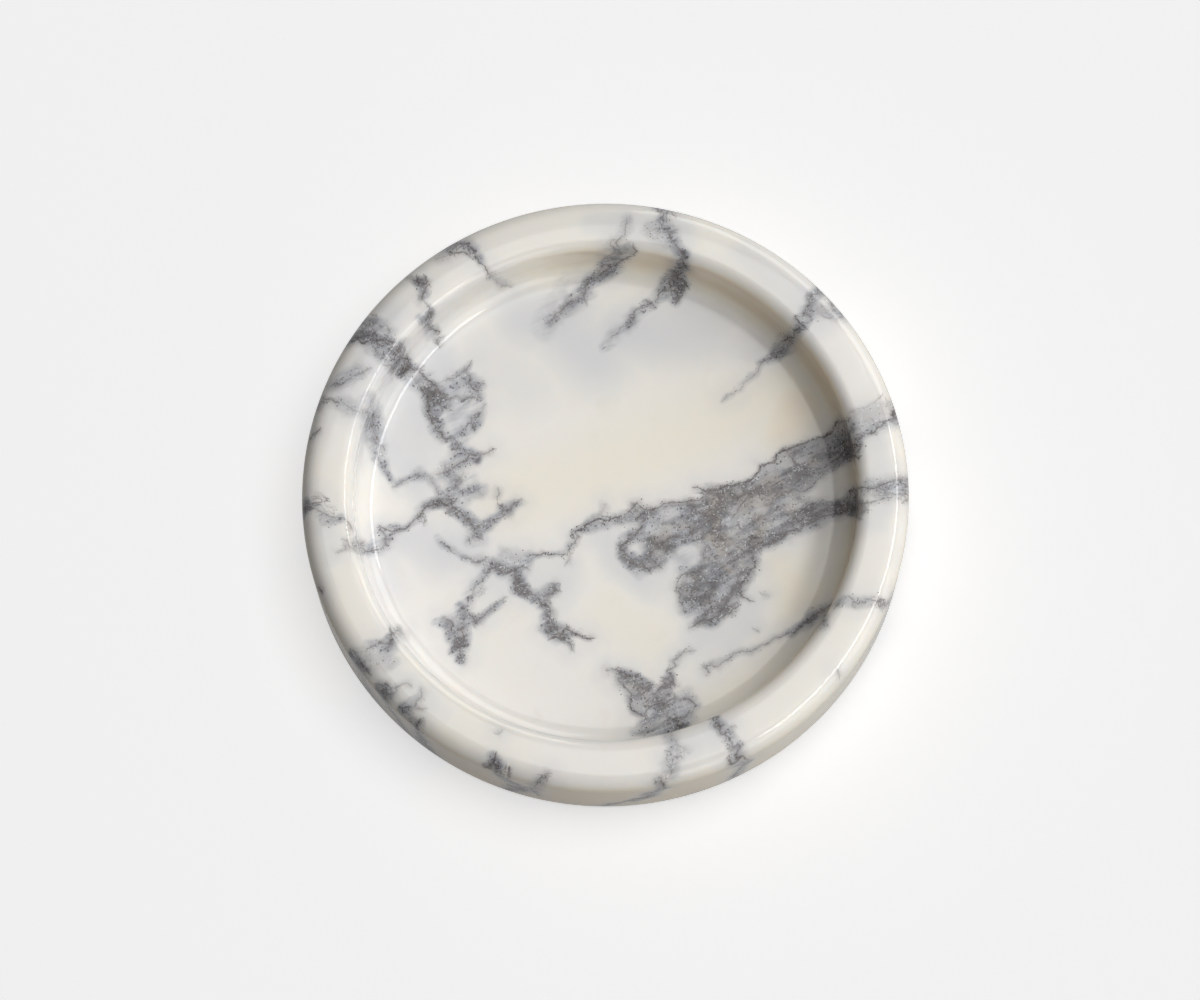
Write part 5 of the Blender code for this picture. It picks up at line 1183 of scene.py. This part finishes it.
# Fine dark threads of mica run between the grains of the grey.
thread_mm = add(marble, "ShaderNodeVectorMath", {0: stone_mm, 1: grain}, operation="ADD")
thread_mm = add(marble, "ShaderNodeMix", {"Factor": 0.45, 4: stone_mm, 5: thread_mm}, output=1,
                data_type="VECTOR")
threads = add(marble, "ShaderNodeTexVoronoi", {"Vector": thread_mm, "Scale": 1 / 2.0},
              output="Distance", feature="DISTANCE_TO_EDGE")
thread = add(marble, "ShaderNodeMapRange", {"Value": threads, "From Min": 0.16, "From Max": 0.02})
thread_tone = add(marble, "ShaderNodeMapRange", {"Value": shade, "From Min": 0.35, "From Max": 0.9,
                                                 "To Min": 0.03, "To Max": 0.50})
thread = add(marble, "ShaderNodeMath", {0: thread, 1: thread_tone}, operation="MULTIPLY")
grey = add(marble, "ShaderNodeMix", {"Factor": thread, 6: grey, 7: linear("#434043")},
           output=2, data_type="RGBA")
# Dark grains gather along the rims of the grey, and a few lie all through it.
rim_gap = add(marble, "ShaderNodeMath", {0: gap, 1: 0.35}, operation="ADD")
rim_gap = add(marble, "ShaderNodeMath", {0: rim_gap}, operation="ABSOLUTE")
pepper_near = add(marble, "ShaderNodeMapRange", {"Value": rim_gap, "From Min": 1.1, "From Max": 0.1,
                                                 "To Min": 0.03, "To Max": 0.11})
pepper = add(marble, "ShaderNodeMath", {0: grain_shade, 1: pepper_near}, operation="LESS_THAN")
pepper = add(marble, "ShaderNodeMath", {0: pepper, 1: thread_tone}, operation="MULTIPLY")
grey = add(marble, "ShaderNodeMix", {"Factor": pepper, 6: grey, 7: linear("#3B3638")},
           output=2, data_type="RGBA")
cover = add(marble, "ShaderNodeMapRange", {"Value": tone, "From Min": 0.1, "From Max": 0.6,
                                           "To Min": 0.35, "To Max": 0.95})
cover = add(marble, "ShaderNodeMath", {0: body, 1: cover}, operation="MULTIPLY")
worn = add(marble, "ShaderNodeMapRange", {"Value": patchy, "From Min": 0.36, "From Max": 0.56,
                                          "To Min": 0.55, "To Max": 1.0})
cover = add(marble, "ShaderNodeMath", {0: cover, 1: worn}, operation="MULTIPLY")
stone = add(marble, "ShaderNodeMix", {"Factor": cover, 6: stone, 7: grey}, output=2,
            data_type="RGBA")

# Dark grains of mica, about half a millimetre across, lie thick in the grey and thin out
# through the smoke, which gives both a grainy look.
mica = add(marble, "ShaderNodeTexVoronoi", {"Vector": stone_mm, "Scale": 1 / 0.55}, output="Color")
mica_pick = add(marble, "ShaderNodeSeparateColor", {"Color": mica}, output="Red")
mica_shade = add(marble, "ShaderNodeSeparateColor", {"Color": mica}, output="Blue")
mica_near = add(marble, "ShaderNodeMath", {0: cover, 1: 0.45}, operation="MULTIPLY")
mica_smoke = add(marble, "ShaderNodeMapRange", {"Value": gap, "From Min": -0.5, "From Max": -2.0,
                                                "To Min": 1.0, "To Max": 0.55})
mica_smoke = add(marble, "ShaderNodeMath", {0: mica_smoke, 1: smoke}, operation="MULTIPLY")
mica_near = add(marble, "ShaderNodeMath", {0: mica_near, 1: mica_smoke}, operation="MAXIMUM")
mica_share = add(marble, "ShaderNodeMapRange", {"Value": mica_near, "From Min": 0.25,
                                                "From Max": 1.0, "To Max": 0.42})
mica_grain = add(marble, "ShaderNodeMath", {0: mica_pick, 1: mica_share}, operation="LESS_THAN")
mica_grain = add(marble, "ShaderNodeMath", {0: mica_grain, 1: 0.66}, operation="MULTIPLY")
mica_colour = add(marble, "ShaderNodeMix", {"Factor": mica_shade, 6: linear("#383436"),
                                            7: linear("#6A5E56")}, output=2, data_type="RGBA")
stone = add(marble, "ShaderNodeMix", {"Factor": mica_grain, 6: stone, 7: mica_colour}, output=2,
            data_type="RGBA")

# Seams: the thin dark lines. The signed distance is pushed sideways, so they zigzag.
zigzag = add(marble, "ShaderNodeMapRange", {"Value": ragged, "From Min": 0.25, "From Max": 0.75,
                                            "To Min": -0.40, "To Max": 0.40})
pushed = add(marble, "ShaderNodeMath", {0: line_side, 1: zigzag}, operation="ADD")
off_line = add(marble, "ShaderNodeMath", {0: pushed}, operation="ABSOLUTE")
glow = add(marble, "ShaderNodeMapRange", {"Value": off_line, "From Min": 1.3, "From Max": 0.1,
                                          "To Max": 0.38}, interpolation_type="SMOOTHSTEP")
line_near = add(marble, "ShaderNodeMapRange", {"Value": line_gap, "From Min": 1.5, "From Max": 0.9},
                interpolation_type="SMOOTHSTEP")
for share in (line_near, line_ink):
    glow = add(marble, "ShaderNodeMath", {0: glow, 1: share}, operation="MULTIPLY")
stone = add(marble, "ShaderNodeMix", {"Factor": glow, 6: stone, 7: linear("#8D8888")}, output=2,
            data_type="RGBA")
bead = add(marble, "ShaderNodeMapRange", {"Value": grain_shade, "To Min": -0.10, "To Max": 0.12})
off_line = add(marble, "ShaderNodeMath", {0: off_line, 1: bead}, operation="ADD")
off_line = add(marble, "ShaderNodeMath", {0: off_line, 1: line_half}, operation="SUBTRACT")
line_core = add(marble, "ShaderNodeMapRange", {"Value": off_line, "From Min": 0.10,
                                               "From Max": -0.20}, interpolation_type="SMOOTHSTEP")
line = add(marble, "ShaderNodeMath", {0: line_core, 1: line_near}, operation="MULTIPLY")
# Loose dark grains lie beside the seams.
speck_near = add(marble, "ShaderNodeMapRange", {"Value": any_gap, "From Min": 1.4, "From Max": 0.0,
                                                "To Min": 0.0, "To Max": 0.05})
speck = add(marble, "ShaderNodeMath", {0: grain_other, 1: speck_near}, operation="LESS_THAN")
line = add(marble, "ShaderNodeMath", {0: line, 1: speck}, operation="MAXIMUM")
line_broken = add(marble, "ShaderNodeMapRange", {"Value": mottle, "From Min": 0.36,
                                                 "From Max": 0.52, "To Min": 0.55,
                                                 "To Max": 1.0})
line_grains = add(marble, "ShaderNodeMapRange", {"Value": grain_shade, "From Min": 0.25,
                                                 "From Max": 0.45, "To Min": 0.55})
for share in (line_broken, line_grains, line_ink):
    line = add(marble, "ShaderNodeMath", {0: line, 1: share}, operation="MULTIPLY")
line_colour = add(marble, "ShaderNodeMix", {"Factor": grain_other, 6: linear("#3A3637"),
                                            7: linear("#5E5351")}, output=2, data_type="RGBA")
stone = add(marble, "ShaderNodeMix", {"Factor": line, 6: stone, 7: line_colour}, output=2,
            data_type="RGBA")

# Clear calcite crystals in and near the grey catch the light as pale needles and dots.
needle_near = add(marble, "ShaderNodeMapRange", {"Value": any_gap, "From Min": 1.5,
                                                 "From Max": -0.5}, interpolation_type="SMOOTHSTEP")
for lean, stretch in [(0.6, 4.0), (-0.5, 3.0), (1.7, 3.5), (0.0, 1.0)]:
    needle_mm = add(marble, "ShaderNodeMapping", {"Vector": stone_mm, "Rotation": (0.3, 0.2, lean),
                                                  "Scale": (stretch, 1.0, 1.0)},
                    vector_type="TEXTURE")
    needle = add(marble, "ShaderNodeTexVoronoi", {"Vector": needle_mm, "Scale": 1 / 0.50})
    needle = add(marble, "ShaderNodeMapRange", {"Value": needle, "From Min": 0.32,
                                                "From Max": 0.12, "To Max": 0.62})
    needle = add(marble, "ShaderNodeMath", {0: needle, 1: needle_near}, operation="MULTIPLY")
    needle_some = add(marble, "ShaderNodeTexNoise", {"Vector": needle_mm, "Scale": 1 / 1.6,
                                                     "Detail": 1.0})
    needle_some = add(marble, "ShaderNodeMapRange", {"Value": needle_some, "From Min": 0.54,
                                                     "From Max": 0.62})
    needle = add(marble, "ShaderNodeMath", {0: needle, 1: needle_some}, operation="MULTIPLY")
    stone = add(marble, "ShaderNodeMix", {"Factor": needle, 6: stone, 7: linear("#DFE1E4")},
                output=2, data_type="RGBA")

polish = add(marble, "ShaderNodeMapRange", {"Value": body, "To Min": 0.08, "To Max": 0.17})
pits = add(marble, "ShaderNodeMath", {0: body, 1: grain_shade}, operation="MULTIPLY")
relief = add(marble, "ShaderNodeBump", {"Height": pits, "Strength": 0.2, "Distance": 0.00002})
shader = add(marble, "ShaderNodeBsdfPrincipled", {
    "Base Color": stone, "Roughness": polish, "Normal": relief, "IOR": 1.49,
    "Subsurface Weight": 0.5, "Subsurface Radius": (1.0, 0.8, 0.65),
    "Subsurface Scale": 0.0020,
})
add(marble, "ShaderNodeOutputMaterial", {"Surface": shader})

stone_mesh.materials.append(marble)
stone_piece = bpy.data.objects.new("marble_body", stone_mesh)
bpy.context.scene.collection.objects.link(stone_piece)
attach(stone_piece, "root")
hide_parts("dish_body")


# Four bumpers of clear rubber, moulded as low domes with a flat tip, each stuck under the
# dish with a thin film of adhesive. They keep the stone off the table.
film_height = 0.00026
film_inset = 0.0002
tip_inset = 0.0010
straight_side = 0.0006
upper_rounding = 0.0001
side_rounding = 0.0005
tip_rounding = 0.0008
dome_facets = 64
dome_steps = 6
sharp_angle = math.radians(35.0)

rubber = bpy.data.materials.new("clear_moulded_rubber")
rubber.use_nodes = True
rubber.node_tree.nodes.clear()
# Clear polyurethane rubber: see-through, slightly milky, with a soft satin skin.
coords = add(rubber, "ShaderNodeTexCoord", {}, output="Object")
rubber_mm = add(rubber, "ShaderNodeMapping", {"Vector": coords, "Scale": (MM, MM, MM)})
milky = add(rubber, "ShaderNodeTexNoise", {"Vector": rubber_mm, "Scale": 1 / 1.5, "Detail": 3.0})
skin = add(rubber, "ShaderNodeTexNoise", {"Vector": rubber_mm, "Scale": 1 / 0.15, "Detail": 2.0})
rubber_colour = add(rubber, "ShaderNodeMix", {"Factor": milky, 6: linear("#E4E7E6"),
                                              7: linear("#F3F4F2")}, output=2, data_type="RGBA")
rubber_polish = add(rubber, "ShaderNodeMapRange", {"Value": milky, "To Min": 0.22, "To Max": 0.36})
rubber_relief = add(rubber, "ShaderNodeBump", {"Height": skin, "Strength": 0.1,
                                               "Distance": 0.00001})
shader = add(rubber, "ShaderNodeBsdfPrincipled", {
    "Base Color": rubber_colour, "Roughness": rubber_polish, "Normal": rubber_relief,
    "IOR": 1.5, "Transmission Weight": 0.75,
})
add(rubber, "ShaderNodeOutputMaterial", {"Surface": shader})

pads = []
for corner in ("front_left", "front_right", "rear_left", "rear_right"):
    low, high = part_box("foot_pad_" + corner)
    middle = (low + high) / 2.0
    pad_radius = (high.x - low.x) / 2.0
    tip_radius = pad_radius - tip_inset
    bm = bmesh.new()
    outline = [
        bm.verts.new((radius, 0.0, height))
        for radius, height in [
            (0.0, high.z + film_height),
            (pad_radius - film_inset, high.z + film_height),
            (pad_radius - film_inset, high.z),
            (pad_radius, high.z),
            (pad_radius, high.z - straight_side),
            (tip_radius, low.z),
            (0.0, low.z),
        ]
    ]
    for start, end in zip(outline, outline[1:]):
        bm.edges.new((start, end))
    for corner_vert, radius in zip(outline[3:6], [upper_rounding, side_rounding, tip_rounding]):
        round_corner(bm, corner_vert, radius, dome_steps)
    turn_outline(bm, dome_facets)
    bmesh.ops.translate(bm, verts=bm.verts[:], vec=(middle.x, middle.y, 0.0))
    bmesh.ops.recalc_face_normals(bm, faces=bm.faces[:])
    pad_mesh = bpy.data.meshes.new("bumper_" + corner)
    bm.to_mesh(pad_mesh)
    bm.free()
    pad_mesh.shade_smooth()
    pad_mesh.set_sharp_from_angle(angle=sharp_angle)
    pad_mesh.materials.append(rubber)
    pad = bpy.data.objects.new("bumper_" + corner, pad_mesh)
    bpy.context.scene.collection.objects.link(pad)
    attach(pad, "root")
    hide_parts("foot_pad_" + corner)
    pads.append(pad)


# The table: a sheet of matt white paper. What the camera sees of it is lifted to a plain
# pale background, and the soft shadow of the dish stays on it.
table_size = 3.0
mirrored = 0.35


def shown(material):
    """1 to the camera and through clear rubber, less in what the polished stone mirrors."""
    seen = add(material, "ShaderNodeLightPath", {}, output="Is Camera Ray")
    for ray, share in [("Is Glossy Ray", mirrored), ("Is Transmission Ray", 1.0)]:
        also = add(material, "ShaderNodeLightPath", {}, output=ray)
        also = add(material, "ShaderNodeMath", {0: also, 1: share}, operation="MULTIPLY")
        seen = add(material, "ShaderNodeMath", {0: seen, 1: also}, operation="MAXIMUM")
    return seen


paper = bpy.data.materials.new("matt_white_paper")
paper.use_nodes = True
paper.node_tree.nodes.clear()
coords = add(paper, "ShaderNodeTexCoord", {}, output="Object")
fibre = add(paper, "ShaderNodeTexNoise", {"Vector": coords, "Scale": MM / 2.0, "Detail": 3.0})
paper_colour = add(paper, "ShaderNodeMix", {"Factor": fibre, 6: linear("#F4F4F4"),
                                            7: linear("#F6F6F6")}, output=2, data_type="RGBA")
matt = add(paper, "ShaderNodeBsdfDiffuse", {"Color": paper_colour})
plain = add(paper, "ShaderNodeEmission", {"Color": linear("#CCCCCC"), "Strength": shown(paper)})
table_surface = add(paper, "ShaderNodeAddShader", {0: matt, 1: plain})
add(paper, "ShaderNodeOutputMaterial", {"Surface": table_surface})

bm = bmesh.new()
bmesh.ops.create_grid(bm, x_segments=1, y_segments=1, size=table_size / 2.0)
table_mesh = bpy.data.meshes.new("table")
bm.to_mesh(table_mesh)
bm.free()
table_mesh.materials.append(paper)
table = bpy.data.objects.new("table", table_mesh)
bpy.context.scene.collection.objects.link(table)


# The studio: a wide soft light overhead, a long narrow window of light high on the right,
# which draws the highlights on the lips, and three long low lights that reach the upright
# sides. Only the overhead one lights the table, so that no long shadows lie on it.
lamp_distance = 3.0
dish_alone = bpy.data.collections.new("dish_alone")
for piece in (stone_piece, *pads):
    dish_alone.objects.link(piece)
# Each lamp: degrees round from the right and up, width and height in m, watts and colour.
for name, azimuth, elevation, size_round, size_up, power, colour in [
    ("overhead", 20.0, 78.0, 2.00, 2.00, 24.5, "#FFFFFF"),
    ("window", -7.0, 53.0, 3.20, 0.60, 43.0, "#FFFFFF"),
    ("low_front", -40.0, 25.0, 4.00, 1.80, 38.0, "#FFFEFA"),
    ("low_rear", 56.0, 25.0, 3.00, 1.60, 32.0, "#FFFEFA"),
    ("low_left", 178.0, 30.0, 3.00, 1.60, 3.0, "#FFF2E2"),
]:
    light = bpy.data.lights.new(name, "AREA")
    light.shape = "RECTANGLE"
    light.size = size_round
    light.size_y = size_up
    light.energy = power
    light.color = linear(colour)[:3]
    lamp = bpy.data.objects.new(name, light)
    a, e = math.radians(azimuth), math.radians(elevation)
    lamp.location = lamp_distance * Vector((math.cos(a) * math.cos(e),
                                            math.sin(a) * math.cos(e), math.sin(e)))
    lamp.rotation_euler = lamp.location.to_track_quat("Z", "Y").to_euler()
    bpy.context.scene.collection.objects.link(lamp)
    if name != "overhead":
        lamp.light_linking.receiver_collection = dish_alone

world = bpy.data.worlds.new("studio")
bpy.context.scene.world = world
world.use_nodes = True
world.node_tree.nodes.clear()
around = add(world, "ShaderNodeBackground", {"Color": linear("#F5F5F5"), "Strength": 0.07})
backdrop = add(world, "ShaderNodeBackground", {"Color": linear("#F5F5F5"), "Strength": 1.0})
sky = add(world, "ShaderNodeMixShader", {0: shown(world), 1: around, 2: backdrop})
add(world, "ShaderNodeOutputWorld", {"Surface": sky})

# The camera: a long lens, high in front of the dish.
camera_data = bpy.data.cameras.new("camera")
camera_data.sensor_width = 36.0
camera_data.lens = 133.9
camera_data.clip_start = 0.05
camera_data.clip_end = 10.0
camera = bpy.data.objects.new("camera", camera_data)
look_at = Vector((-0.00136, 0.00383, stone_low.z))
camera_height = math.radians(75.9)
camera_roll = math.radians(-1.0)
camera_distance = 1.125
back = Vector((0.0, -math.cos(camera_height), math.sin(camera_height)))
camera.location = look_at + back * camera_distance
camera.rotation_mode = "QUATERNION"
camera.rotation_quaternion = (back.to_track_quat("Z", "Y")
                              @ Quaternion((0.0, 0.0, 1.0), camera_roll))
bpy.context.scene.collection.objects.link(camera)
bpy.context.scene.camera = camera

bpy.context.scene.view_settings.view_transform = "Standard"
